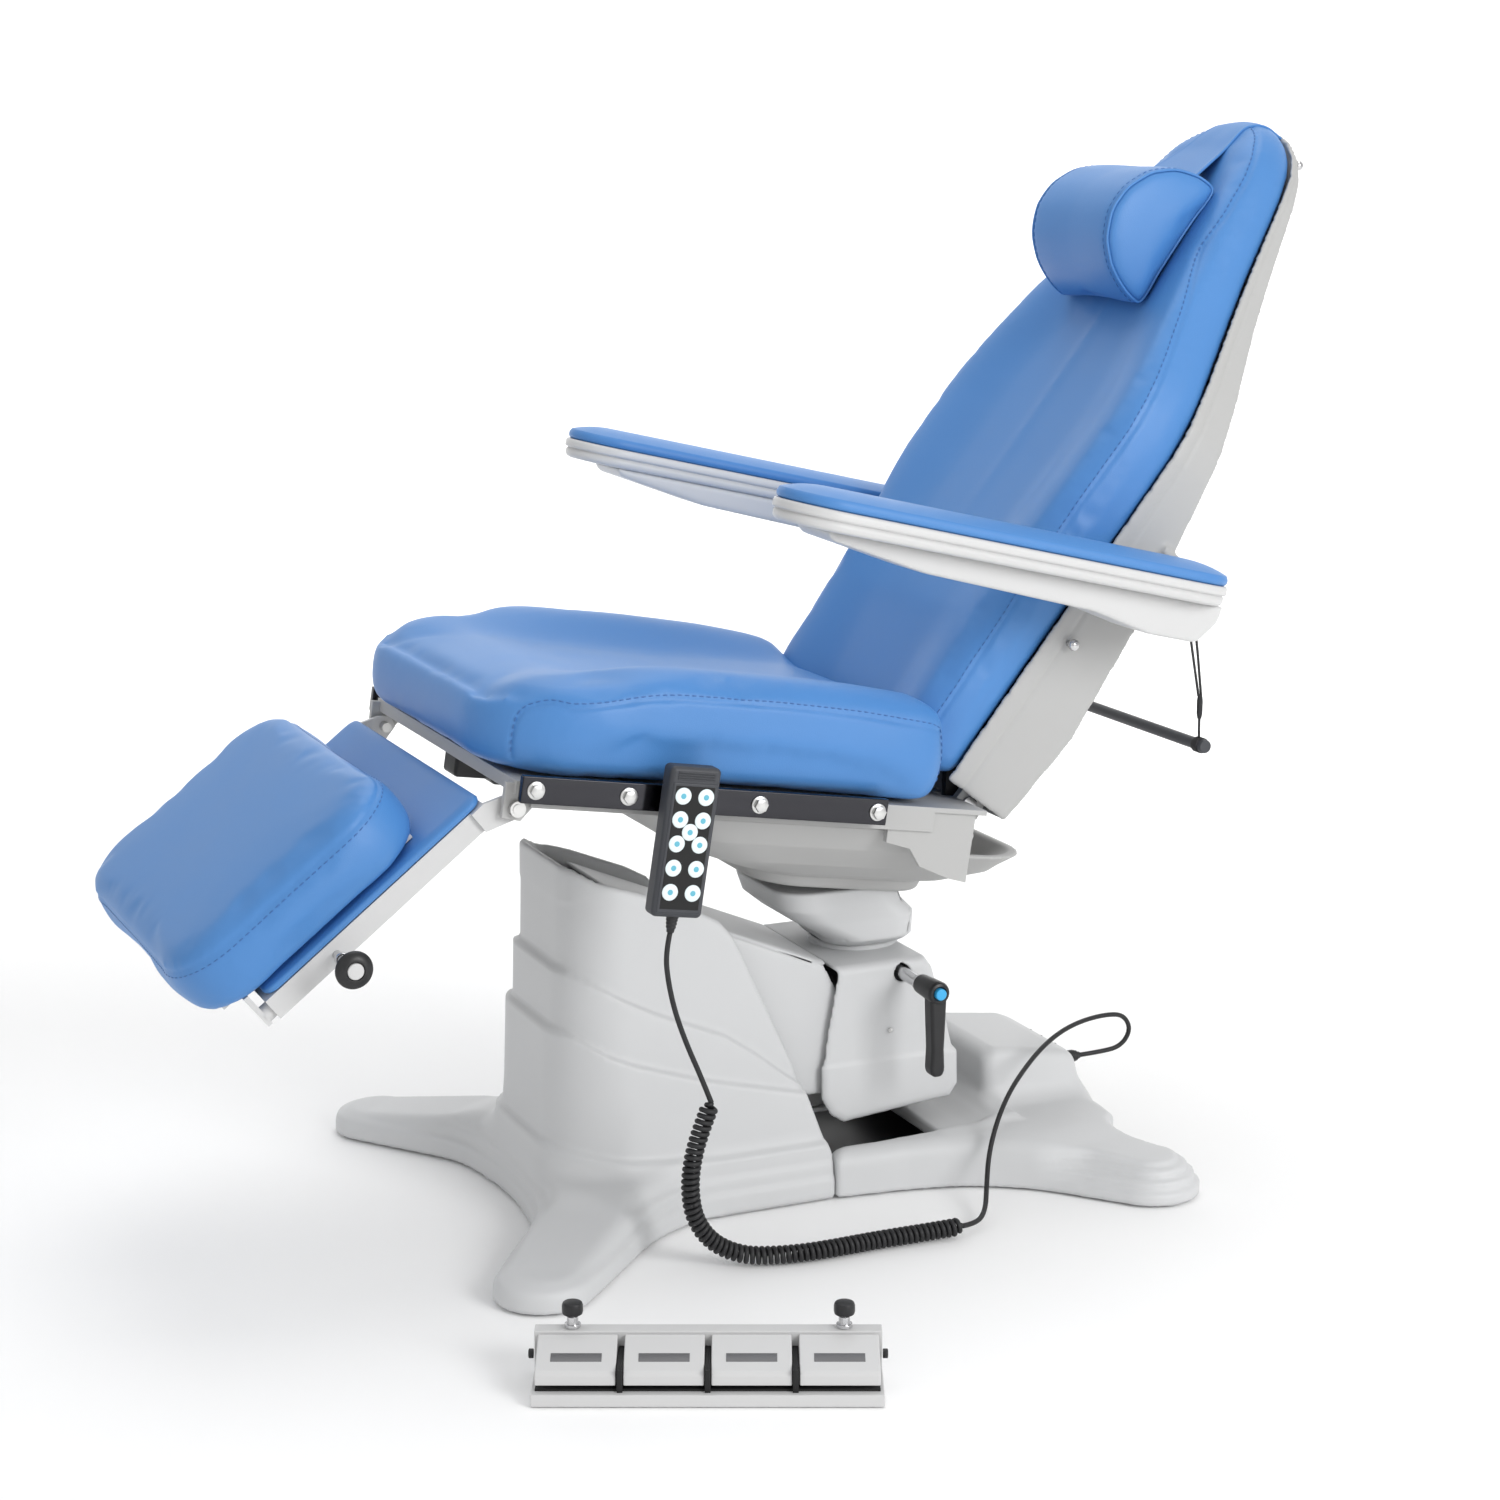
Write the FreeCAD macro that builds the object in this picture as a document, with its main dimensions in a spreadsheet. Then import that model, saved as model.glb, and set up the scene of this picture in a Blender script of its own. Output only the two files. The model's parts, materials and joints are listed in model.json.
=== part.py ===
import FreeCAD, Part
import Sketcher
import os, math

V = FreeCAD.Vector
doc = FreeCAD.newDocument("procedure_chair")

# ------------------------------------------------------------------ driving dimensions (mm, degrees)
sheet = doc.addObject("Spreadsheet::Sheet", "Dims")
DIMS = dict(
    seat_tilt=8.9, tilt_x=150, tilt_z=410,                      # tilt axis and photographed tilt
    back_x=203, back_z=565, back_lean=37,                       # backrest reference plane
    arm_px=400, arm_pz=720, arm_rise=13.2, hang_x=460, hang_z=756,                      # armrest pivot
    leg_hx=-391, leg_hz=460, leg_drop=47,                       # leg rest hinge in the level seat
    foot_x=-302.6, foot_y=-592, foot_turn=-24.2,                # loose foot control on the floor
    lift_ux=-220, lift_uz=350, lift_vx=130, lift_vz=194, link_gap=90,
    pin_rad=11, pin_bore=11.05, wall=4,
    post_rad=30, post_bore=30.05, collar_rad=56,
    rail_len=443, rail_high=30, rail_thick=10, rail_gap=14, rail_hole=4.5, seat_half=250,
    pad_half=232, leg_half=228, cushion_half=266,
    foot_pad_rad=24, foot_pad_high=6,
    handset_wide=60, handset_high=168, handset_thick=26,
    bar_rad=7, bar_len=510, cord_rad=3, coil_rad=11, elastic_rad=1.6,
    lever_x=163, lever_z=256, lever_hub=13, stud_rad=8, button_rad=7,
    knob_rad=21, stem_rad=5,
    rod_rad=2.5, pedal_wide=82, pedal_deep=58, control_long=358, control_deep=92,
)
for i, (k, v) in enumerate(DIMS.items()):
    sheet.set("A%d" % (i + 1), k)
    sheet.set("B%d" % (i + 1), str(v))
    sheet.setAlias("B%d" % (i + 1), k)
doc.recompute()


def S(name):
    return float(sheet.get(name))


# ------------------------------------------------------------------ frames of the assemblies
YY, ZZ = V(0, 1, 0), V(0, 0, 1)
TILT = V(S("tilt_x"), 0, S("tilt_z"))
WORLD = FreeCAD.Placement()
SEAT = FreeCAD.Placement(V(0, 0, 0), FreeCAD.Rotation(YY, S("seat_tilt")), TILT)
LEG = SEAT.multiply(FreeCAD.Placement(V(S("leg_hx"), 0, S("leg_hz")), FreeCAD.Rotation(YY, -S("leg_drop"))))
BACK = FreeCAD.Placement(V(S("back_x"), 0, S("back_z")), FreeCAD.Rotation(YY, S("back_lean")))
ARM = FreeCAD.Placement(V(0, 0, 0), FreeCAD.Rotation(YY, S("arm_rise")), V(S("arm_px"), 0, S("arm_pz")))
FOOT = FreeCAD.Placement(V(S("foot_x"), S("foot_y"), 0), FreeCAD.Rotation(ZZ, S("foot_turn")))
LIFT = FreeCAD.Placement(V(S("lift_ux"), 0, S("lift_uz")), FreeCAD.Rotation(
    YY, math.degrees(math.atan2(S("lift_uz") - S("lift_vz"), S("lift_vx") - S("lift_ux")))))
LIFT_LEN = math.hypot(S("lift_vx") - S("lift_ux"), S("lift_uz") - S("lift_vz"))

OUT = []


def keep(o, label):
    o.Label = label
    OUT.append(o)
    return o


def feat(label, shape, frame=WORLD):
    """A piece whose outline has no primitive: shape from code, place from its frame."""
    o = doc.addObject("Part::Feature", label)
    o.Shape = shape
    o.Placement = frame
    return keep(o, label)


def helper(shape, frame=WORLD):
    o = doc.addObject("Part::Feature", "h")
    o.Shape = shape
    o.Placement = frame
    return o


def box(x0, x1, y0, y1, z0, z1):
    return Part.makeBox(x1 - x0, y1 - y0, z1 - z0, V(x0, y0, z0))


def cyl(r, p, d, length):
    return Part.makeCylinder(r, length, V(*p), V(*d))


def poly(pts):
    return Part.Face(Part.makePolygon([V(*p) for p in pts] + [V(*pts[0])]))


def prism_xz(pts, y0, y1):
    return poly([(x, y0, z) for x, z in pts]).extrude(V(0, y1 - y0, 0))


def prism_xy(pts, z0, z1):
    return poly([(x, y, z0) for x, y in pts]).extrude(V(0, 0, z1 - z0))


def prism_yz(pts, x0, x1):
    return poly([(x0, y, z) for y, z in pts]).extrude(V(x1 - x0, 0, 0))


def both(fn):
    """The same piece on the near and the far side."""
    a = fn()
    b = a.mirror(V(0, 0, 0), V(0, 1, 0))
    return a, b


def rrect(x0, x1, y0, y1, r, z):
    e = []
    c = [(x1 - r, y1 - r, 0), (x0 + r, y1 - r, 90), (x0 + r, y0 + r, 180), (x1 - r, y0 + r, 270)]
    pts = []
    for cx, cy, a in c:
        for k in (0, 45, 90):
            t = math.radians(a + k)
            pts.append(V(cx + r * math.cos(t), cy + r * math.sin(t), z))
    for k in range(4):
        a, m, b = pts[3 * k:3 * k + 3]
        e.append(Part.Arc(a, m, b).toShape())
        e.append(Part.LineSegment(b, pts[(3 * k + 3) % 12]).toShape())
    return Part.Wire(e)


def loft(wires):
    return Part.makeLoft(wires, True, True)


def soft_box(x0, x1, y0, y1, z0, z1, r):
    s = box(x0, x1, y0, y1, z0, z1)
    return s.makeFillet(r, s.Edges)


def fuse(*s):
    r = s[0].multiFuse(list(s[1:])) if len(s) > 1 else s[0]
    return r.removeSplitter()


def bind(o, **kw):
    for prop, expr in kw.items():
        o.setExpression(prop, expr)


def p_cyl(label, radius, height, pos, axis, frame=WORLD):
    """A turned piece bound to the sheet."""
    o = doc.addObject("Part::Cylinder", label)
    bind(o, Radius=radius, Height=height)
    o.Placement = frame.multiply(FreeCAD.Placement(V(*pos), FreeCAD.Rotation(ZZ, V(*axis))))
    return o


# ------------------------------------------------------------------ base: covers, frame, feet
def foot_leg(x0, y0, x1, y1, w0, w1, h0, h1):
    """A tapering moulded leg from the plinth to a round toe."""
    d = V(x1 - x0, y1 - y0, 0)
    L = d.Length
    d.normalize()
    n = V(-d.y, d.x, 0)
    ang = math.degrees(math.atan2(d.y, d.x))

    def wire(inset, z):
        k = 1 - inset
        p = [V(x0, y0, 0) + n * w0 * k, V(x1, y1, 0) + n * w1 * k, V(x1, y1, 0) + d * w1 * k,
             V(x1, y1, 0) - n * w1 * k, V(x0, y0, 0) - n * w0 * k]
        p = [V(q.x, q.y, z) for q in p]
        return Part.Wire([Part.LineSegment(p[0], p[1]).toShape(), Part.Arc(p[1], p[2], p[3]).toShape(),
                          Part.LineSegment(p[3], p[4]).toShape(), Part.LineSegment(p[4], p[0]).toShape()])
    body = loft([wire(0, 4), wire(0.02, 30), wire(0.35, h0)])
    # the back of the leg slopes down to the toe
    slope = prism_xz([(-200, 0), (L + 200, 0), (L + 200, h1 - (h0 - h1) * 200 / L), (-200, h0 + (h0 - h1) * 200 / L)], -300, 300)
    slope.Placement = FreeCAD.Placement(V(x0, y0, 0), FreeCAD.Rotation(ZZ, ang))
    return body.common(slope)


fl_a = foot_leg(-250, -150, -372, -300, 95, 58, 110, 40)
fl_b = fl_a.mirror(V(0, 0, 0), V(0, 1, 0))
tower = loft([rrect(-312, 48, -166, 166, 90, 4), rrect(-300, 40, -152, 152, 85, 90),
              rrect(-290, 20, -138, 138, 75, 200), rrect(-284, 0, -128, 128, 70, 320), rrect(-280, 0, -122, 122, 66, 426)])
rim = prism_xz([(-330, 0), (60, 0), (48, 42), (4, 137), (-60, 322), (-178, 372), (-262, 416), (-330, 418)], -300, 300)
tower = tower.common(rim)
plinth_f = loft([rrect(-290, 50, -172, 172, 60, 4), rrect(-288, 50, -166, 166, 60, 60)])
front = fuse(tower, plinth_f, fl_a, fl_b)
front = front.cut(box(50, 200, -400, 400, -10, 500))
BARS = [(-200, 90, -368, 292), (255, 92, 402, 286)]


def bar_box(half, z0, z1, extra):
    r = []
    for x0, y0, x1, y1 in BARS:
        for sy in (-1, 1):
            d = V(x1 - x0, (y1 - y0) * sy, 0)
            b = box(-extra, d.Length + extra, -half, half, z0, z1)
            b.Placement = FreeCAD.Placement(V(x0, y0 * sy, 0), FreeCAD.Rotation(ZZ, math.degrees(math.atan2(d.y, d.x))))
            r.append(b)
    return r


CHANNELS = fuse(*bar_box(19.5, -6, 23.5, 1.5), *[cyl(27, (x, y * sy, -6), (0, 0, 1), 20) for x, y in ((-368, 292), (402, 286)) for sy in (-1, 1)])
well = Part.Face(rrect(-264, 260, -107, 107, 50, -6)).extrude(V(0, 0, 526))
front = front.cut(well).cut(CHANNELS)
front = front.cut(box(-340, 60, -400, 400, -5, 4))
feat("front_base_cover", front)

rl_a = foot_leg(300, -170, 407, -292, 90, 60, 92, 42)
rl_b = rl_a.mirror(V(0, 0, 0), V(0, 1, 0))
plinth_r = loft([rrect(50, 440, -190, 190, 20, 4), rrect(50.5, 436, -184, 184, 20, 62), rrect(60, 428, -160, 160, 20, 72)])
plinth_r = plinth_r.cut(prism_xy([(40, -175), (40, -240), (200, -240), (200, -183)], -5, 90))
plinth_r = plinth_r.cut(prism_xy([(40, 175), (40, 240), (200, 240), (200, 183)], -5, 90))
hump = loft([rrect(290, 432, -112, 112, 26, 40), rrect(296, 426, -104, 104, 24, 105), rrect(306, 412, -92, 92, 22, 134)])
hump = hump.common(prism_xz([(280, 0), (440, 0), (440, 112), (405, 124), (310, 134), (280, 134)], -300, 300))
rear = fuse(plinth_r, hump, rl_a, rl_b)
rear = rear.cut(box(-400, 50.5, -400, 400, -10, 500))
rear = rear.cut(fuse(box(40, 282, -150, 150, -5, 90), box(300, 418, -84, 84, -5, 112), box(270, 310, -84, 84, -5, 40)))
rear = rear.cut(box(40, 480, -400, 400, -5, 4))
rear = rear.cut(box(415, 440, -62, 62, 84, 106)).cut(CHANNELS)
feat("rear_base_cover", rear)

# welded floor frame: plate, two tower cheeks with the pivot bores, and leg bars
pr = S("pin_bore")
plate = box(-222, 262, -100, 100, 8, 13)
bars = bar_box(18, 8, 22, 0)
ux, uz, vx, vz, gap = (S(k) for k in ("lift_ux", "lift_uz", "lift_vx", "lift_vz", "link_gap"))
cheek = prism_xz([(-222, 9), (-120, 9), (-180, 200), (-192, 372), (-246, 372), (-250, 200)], -88, -80)
for z in (uz, uz - gap):
    cheek = cheek.cut(cyl(S("pin_rad"), (ux, -100, z), (0, 1, 0), 40))
frame = fuse(plate, *bars, cheek, cheek.mirror(V(0, 0, 0), V(0, 1, 0)))
feat("base_frame", frame)

pads = []
for x, y in ((-368, 292), (402, 286)):
    for sy in (-1, 1):
        c = doc.addObject("Part::Cone", "pad")
        bind(c, Radius1="Dims.foot_pad_rad", Radius2="Dims.foot_pad_rad - 5", Height="Dims.foot_pad_high + 2")
        c.Placement = FreeCAD.Placement(V(x, y * sy, 0), FreeCAD.Rotation())
        pads.append(c)
fp = doc.addObject("Part::MultiFuse", "floor_feet")
fp.Shapes = pads
keep(fp, "floor_feet")

feat("control_box", soft_box(304, 412, -76, 76, 22, 106, 4))
sock = fuse(box(418.5, 424.5, -60, 60, 86, 104), box(424.5, 428, -60, 60, 84, 106))
blanks = [cyl(7, (428, y, 95), (1, 0, 0), 9) for y in (-14, 22, 50)]
sock = fuse(sock, *blanks)
feat("socket_panel", sock)

pins = []
for z in ("Dims.lift_uz", "Dims.lift_uz - Dims.link_gap"):
    c = doc.addObject("Part::Cylinder", "pin")
    bind(c, Radius="Dims.pin_rad", Height="176")
    c.Placement = FreeCAD.Placement(V(ux, -88, uz if "gap" not in z else uz - gap), FreeCAD.Rotation(ZZ, YY))
    pins.append(c)
tp = doc.addObject("Part::MultiFuse", "tower_pins")
tp.Shapes = pins
keep(tp, "tower_pins")

# ------------------------------------------------------------------ parallel lift
def link(y0, y1, half, hub):
    s = fuse(box(0, LIFT_LEN, y0, y1, -half, half), cyl(hub, (0, y0, 0), (0, 1, 0), y1 - y0), cyl(hub, (LIFT_LEN, y0, 0), (0, 1, 0), y1 - y0))
    for a in (0, LIFT_LEN):
        s = s.cut(cyl(pr, (a, y0 - 1, 0), (0, 1, 0), y1 - y0 + 2))
    return s


arm = fuse(*both(lambda: link(-78, -66, 20, 24)), cyl(14, (60, -67, 0), (0, 1, 0), 134), cyl(14, (150, -67, 0), (0, 1, 0), 134))
feat("lift_arm", arm, LIFT)
LINK = FreeCAD.Placement(LIFT.Base - V(0, 0, gap), LIFT.Rotation)
feat("lift_link", link(-40, 40, 12, 20), LINK)
side = [(10, 44), (292, 50), (322, 20), (344, -104), (300, -118), (120, -60), (20, -30), (10, 0)]
cover = fuse(prism_xz([(10, 44), (292, 50), (292, 46), (10, 40)], -100, 100), *both(lambda: prism_xz(side, -100, -96)))
cover = cover.cut(fuse(*both(lambda: cyl(30, (0, -105, 0), (0, 1, 0), 20))))
stays = [box(55, 65, -97, 97, 34, 43), box(145, 155, -97, 97, 34, 44)]
feat("arm_cover", fuse(cover, *stays), LIFT)

# ------------------------------------------------------------------ lift head, head cover and swivel
head = fuse(box(108, 192, -62, 62, 84, 266), box(108, 152, -62, 62, 80, 216))
head = head.cut(box(100, 156, -42, 42, 70, 132))
head = head.cut(cyl(S("post_bore"), (150, 0, 140), (0, 0, 1), 140))
for z in (vz, vz - gap):
    head = head.cut(cyl(S("pin_rad"), (vx, -80, z), (0, 1, 0), 160))
lx, lz = S("lever_x"), S("lever_z")
head = head.cut(cyl(S("stud_rad") + 0.05, (lx, -64, lz), (0, 1, 0), 26))
feat("lift_head", head)
hp = []
for z in (vz, vz - gap):
    y = 84 if z == vz else 62
    c = doc.addObject("Part::Cylinder", "hpin")
    bind(c, Radius="Dims.pin_rad", Height=str(2 * y))
    c.Placement = FreeCAD.Placement(V(vx, -y, z), FreeCAD.Rotation(ZZ, YY))
    hp.append(c)
hpin = doc.addObject("Part::MultiFuse", "head_pins_whole")
hpin.Shapes = hp
doc.recompute()
# the upper pin is two stubs, clear of the swivel post
feat("head_pins", hpin.Shape.cut(cyl(S("post_rad") + 4, (150, 0, 150), (0, 0, 1), 80)))

hside = [(76, 272), (62, 200), (54, 150), (66, 84), (84, 72), (232, 90), (240, 108), (238, 150), (226, 190), (208, 256), (196, 272)]
shell = fuse(*both(lambda: prism_xz(hside, -114, -109)),
             prism_xz([(86, 272), (196, 272), (208, 256), (226, 190), (238, 150), (240, 108), (232, 90), (228, 94), (235, 110), (233, 149), (221, 189), (204, 253), (194, 267), (86, 267)], -110, 110))
shell = shell.cut(cyl(48, (150, 0, 260), (0, 0, 1), 20))
shell = shell.cut(cyl(S("stud_rad") + 3, (lx, -120, lz), (0, 1, 0), 20))
feat("head_cover", shell)

# collar: turned ring, revolved from its half section
col = doc.addObject("PartDesign::Body", "swivel_collar")
sk = col.newObject("Sketcher::SketchObject", "collar_section")
sk.AttachmentSupport = [([f for f in col.Origin.OriginFeatures if f.Role == "XZ_Plane"][0], "")]
sk.MapMode = "FlatFace"
cr, cb = S("collar_rad"), S("post_bore") + 0.3
pts = [(cb, 266.3), (46, 266.3), (46, 272.3), (cr, 272.3), (cr, 277), (cr - 3, 279.5), (cb, 279.5)]
for i in range(len(pts)):
    a, b = pts[i], pts[(i + 1) % len(pts)]
    sk.addGeometry(Part.LineSegment(V(a[0], a[1], 0), V(b[0], b[1], 0)), False)
for i in range(len(pts)):
    sk.addConstraint(Sketcher.Constraint("Coincident", i, 2, (i + 1) % len(pts), 1))
doc.recompute()
rv = col.newObject("PartDesign::Revolution", "collar_turn")
rv.Profile = sk
rv.ReferenceAxis = (sk, ["V_Axis"])
rv.Angle = 360
col.Placement = FreeCAD.Placement(V(150, 0, 0), FreeCAD.Rotation())
keep(col, "swivel_collar")

# clamp lever for the swivel: stud, hub with handle, push button
feat("lever_stud", fuse(cyl(S("stud_rad"), (lx, -172, lz), (0, 1, 0), 132), cyl(11, (lx, -122, lz), (0, 1, 0), 6)))
hub = fuse(cyl(S("lever_hub"), (lx, -210, lz), (0, 1, 0), 50),
           prism_xz([(lx - 10, lz - 4), (lx + 10, lz - 4), (lx + 9, lz - 98), (lx + 4, lz - 104), (lx - 4, lz - 104), (lx - 9, lz - 98)], -208, -186))
hub = hub.cut(cyl(S("button_rad") + 0.4, (lx, -211, lz), (0, 1, 0), 14))
hub = hub.cut(cyl(S("stud_rad"), (lx, -172, lz), (0, 1, 0), 13))
feat("clamp_lever", hub)
b = p_cyl("lever_button", "Dims.button_rad", "10", (lx, -213.5, lz), (0, 1, 0))
keep(b, "lever_button")

post = fuse(cyl(S("post_rad"), (150, 0, 158), (0, 0, 1), 142), cyl(50, (150, 0, 280), (0, 0, 1), 12),
            box(110, 190, -66, 66, 292, 318), *both(lambda: prism_xz([(112, 300), (178, 300), (170, 420), (150, 430), (130, 420)], -66, -54)))
post = fuse(post, cyl(12, (150, -92, 410), (0, 1, 0), 40), cyl(12, (150, 52, 410), (0, 1, 0), 40))
feat("swivel_post", post)
NK = [(280.2, 97, 207, 55, 45), (292, 90, 208, 60, 45), (318, 46, 207, 77, 42), (336, 24, 188, 85, 40), (360, 16, 178, 87, 40)]
nk = loft([rrect(x0, x1, -w, w, r, z) for z, x0, x1, w, r in NK])
nk = nk.cut(fuse(box(107, 193, -69, 69, 291, 321), box(107, 181, -69, 69, 320, 370), cyl(52, (150, 0, 279), (0, 0, 1), 14)))
feat("neck_cover", nk)

# ------------------------------------------------------------------ seat (level frame, then tilted)
hf = S("seat_half")
pan = [box(-396, 188, -hf, hf, 485, 491).cut(fuse(*both(lambda: box(170, 190, -165, -145, 480, 495)))), box(-396, -391, -hf, hf, 476, 491)]
pan += both(lambda: box(-376, 120, -hf, -hf + 4, 462, 491))
pan += both(lambda: prism_xz([(64, 486), (176, 486), (176, 404), (150, 408), (112, 420), (96, 440), (64, 446)], -246, -238))
pan += both(lambda: prism_xz([(-406, 448), (-384, 446), (-366, 470), (-366, 488), (-406, 488)], -246, -238).cut(cyl(5.95, (-391, -260, 460), (0, 1, 0), 40)))
pan += both(lambda: prism_xz([(120, 488), (180, 488), (182, 394), (150, 386), (118, 394)], -90, -79).cut(cyl(12.05, (150, -100, 410), (0, 1, 0), 40)))
pan += both(lambda: prism_xz([(130, 466), (196, 464), (218, 466), (226, 484), (218, 502), (196, 506), (186, 490), (130, 490)], -176, -166).cut(cyl(9, (204, -190, 484), (0, 1, 0), 40)))
feat("seat_frame", fuse(*pan), SEAT)

SHR = [(356, -12, 216, 100, 50), (374, -30, 222, 108, 52), (400, -130, 268, 156, 60), (428, -190, 298, 196, 62), (460, -238, 300, 232, 62)]
out_s = loft([rrect(x0, x1, -w, w, r, z) for z, x0, x1, w, r in SHR])
in_s = loft([rrect(x0 + 7.5, x1 - 6.5, -w + 6.5, w - 6.5, r - 5, z + (1 if z > 458 else -1 if z < 357 else 0)) for z, x0, x1, w, r in SHR])
rear_gap = box(186, 330, -260, 260, 429, 470)       # room for the reclined back
feat("seat_shroud", out_s.cut(in_s).cut(rear_gap), SEAT)

ch = S("cushion_half")
seat_c = fuse(box(-425, 64, -ch, ch, 507, 602), *both(lambda: box(60, 132, -ch, -ch + 30, 507, 588)), box(-412, 64, -244, 244, 491.2, 508))
feat("seat_cushion", seat_c, SEAT)

# accessory rails: pressed flat bars, each with four bolt holes
rails = []
RX = (-382, -274, -116, 32)
for sy in (-1, 1):
    body = doc.addObject("PartDesign::Body", "rail_body")
    s2 = body.newObject("Sketcher::SketchObject", "rail_face")
    s2.AttachmentSupport = [([f for f in body.Origin.OriginFeatures if f.Role == "XZ_Plane"][0], "")]
    s2.MapMode = "FlatFace"
    q = [(-398, 471), (-398 + S("rail_len"), 471), (-398 + S("rail_len"), 471 + S("rail_high")), (-398, 471 + S("rail_high"))]
    for i in range(4):
        a, c = q[i], q[(i + 1) % 4]
        s2.addGeometry(Part.LineSegment(V(a[0], a[1], 0), V(c[0], c[1], 0)), False)
    for i in range(4):
        s2.addConstraint(Sketcher.Constraint("Coincident", i, 2, (i + 1) % 4, 1))
    for x in RX:
        s2.addGeometry(Part.Circle(V(x, 486, 0), ZZ, S("rail_hole")), False)
    doc.recompute()
    pad = body.newObject("PartDesign::Pad", "rail_pad")
    pad.Profile = s2
    pad.setExpression("Length", "Dims.rail_thick")
    doc.recompute()
    # the pad grows along -Y from the sketch plane
    y = -264 if sy < 0 else 274
    body.Placement = SEAT.multiply(FreeCAD.Placement(V(0, y, 0), FreeCAD.Rotation()))
    rails.append(body)
rf = doc.addObject("Part::MultiFuse", "side_rails")
rf.Shapes = rails
keep(rf, "side_rails")
bolts = []
for sy in (-1, 1):
    for x in RX:
        sp = cyl(8, (x, sy * 250.2, 486), (0, sy, 0), 13.7).cut(cyl(4.3, (x, sy * 249, 486), (0, sy, 0), 20))
        bt = fuse(cyl(4.2, (x, sy * 251, 486), (0, sy, 0), 24), cyl(8.5, (x, sy * 274.1, 486), (0, sy, 0), 1.6), cyl(6.8, (x, sy * 275.5, 486), (0, sy, 0), 4.5))
        bolts += [sp, bt]
feat("rail_bolts", Part.makeCompound(bolts), SEAT)
feat("leg_hinge_bolts", Part.makeCompound([fuse(cyl(5.95, (-391, sy * 216, 460), (0, sy, 0), 38), cyl(9, (-391, sy * 247, 460), (0, sy, 0), 6)) for sy in (-1, 1)]), SEAT)
feat("leg_actuator", fuse(soft_box(-346, -246, -45, 45, 446, 484, 6), soft_box(-384, -300, -22, 22, 448, 482, 5)), SEAT)

# ------------------------------------------------------------------ leg rest (frame of its own, x towards the feet is negative)
lh = S("leg_half")
lf = [box(-335, -22, -lh, lh, 19, 24)]
lf += both(lambda: box(-335, -22, -lh, -lh + 30, -2, 19).cut(cyl(10.05, (-400, -lh + 15, 8), (1, 0, 0), 500)))
lf += both(lambda: prism_xz([(-40, 24), (-40, -2), (-8, -14), (10, -10), (14, 4), (2, 14), (-22, 24)], -lh - 6, -lh).cut(cyl(6, (0, -lh - 10, 0), (0, 1, 0), 30)))
lfr = fuse(*lf).cut(fuse(*both(lambda: cyl(S("stem_rad") + 0.05, (-246, -lh - 5, 8), (0, 1, 0), 12))))
feat("leg_frame", lfr, LEG)
feat("leg_pad", soft_box(-326, -24, -S("pad_half") + 6, S("pad_half") - 6, 24.3, 35, 4), LEG)
car = [box(-372, -100, -196, 196, 36.5, 41), box(-350, -344, -222, 222, -2, 40)]
car += both(lambda: cyl(10, (-346, -lh + 15, 8), (1, 0, 0), 280))
feat("leg_carriage", fuse(*car), LEG)
feat("leg_cushion", soft_box(-392, -82, -240, 240, 41.3, 122, 24), LEG)
kn = doc.addObject("Part::Torus", "knob_ring")
bind(kn, Radius1="Dims.knob_rad - 6", Radius2="6")
kn.Placement = LEG.multiply(FreeCAD.Placement(V(-246, -290, 8), FreeCAD.Rotation(ZZ, YY)))
kc = p_cyl("knob_cap", "Dims.knob_rad - 8", "8", (-246, -294, 8), (0, 1, 0), LEG)
ks = p_cyl("knob_stem", "Dims.stem_rad", "64", (-246, -288, 8), (0, 1, 0), LEG)
kk = doc.addObject("Part::MultiFuse", "leg_knob")
kk.Shapes = [kn, kc, ks]
keep(kk, "leg_knob")

# ------------------------------------------------------------------ backrest (x backwards from the cushion plane, z up the back)
OUTL = [(-60, 212), (0, 215), (240, 230), (400, 240), (440, 236), (500, 217), (552, 196), (600, 177), (652, 158), (710, 139), (760, 123), (795, 109), (824, 84), (846, 54), (858, 22)]
ARM_B = BACK.inverse().multVec(V(S("arm_px"), 0, S("arm_pz")))
HINGE_B = BACK.inverse().multVec(SEAT.multVec(V(204, 0, 484)))
HANG_B = BACK.inverse().multVec(V(S("hang_x"), 0, S("hang_z")))


def outline(inset, z0):
    r = [(z, max(8, w - inset)) for z, w in OUTL]
    r[-1] = (OUTL[-1][0] - inset, max(8, OUTL[-1][1] - inset / 2))
    r[-2] = (OUTL[-2][0] - inset * 0.8, OUTL[-2][1] - inset * 0.6)
    r[0] = (z0, r[0][1])
    return [(-w, z) for z, w in r] + [(w, z) for z, w in reversed(r)]


prof_o = [(2, -60), (98, -60), (110, 60), (93, 235), (64, 395), (38, 600), (22, 770), (10, 860), (2, 860)]
prof_i = [(1, -70), (92, -70), (104, 58), (87, 233), (58, 393), (33, 600), (16, 760), (6, 848), (1, 848)]
sh_o = prism_yz(outline(0, -60), 0, 140).common(prism_xz(prof_o, -300, 300))
sh_i = prism_yz(outline(6, -70), 0, 140).common(prism_xz(prof_i, -300, 300))
bshell = sh_o.cut(sh_i)
bshell = bshell.cut(fuse(*both(lambda: cyl(12.05, (ARM_B.x, -260, ARM_B.z), (0, 1, 0), 60))))
peg = fuse(*both(lambda: fuse(box(60, HANG_B.x + 4, -240, -226, HANG_B.z - 5, HANG_B.z + 5), cyl(4, (HANG_B.x, -251, HANG_B.z), (0, 1, 0), 25), cyl(6, (HANG_B.x, -251, HANG_B.z), (0, 1, 0), 3))))
feat("backrest_shell", fuse(bshell, peg), BACK)
bf = [box(3, 8, -150, 150, 40, 560), *both(lambda: box(5, 40, -150, -144, 40, 420))]
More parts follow.
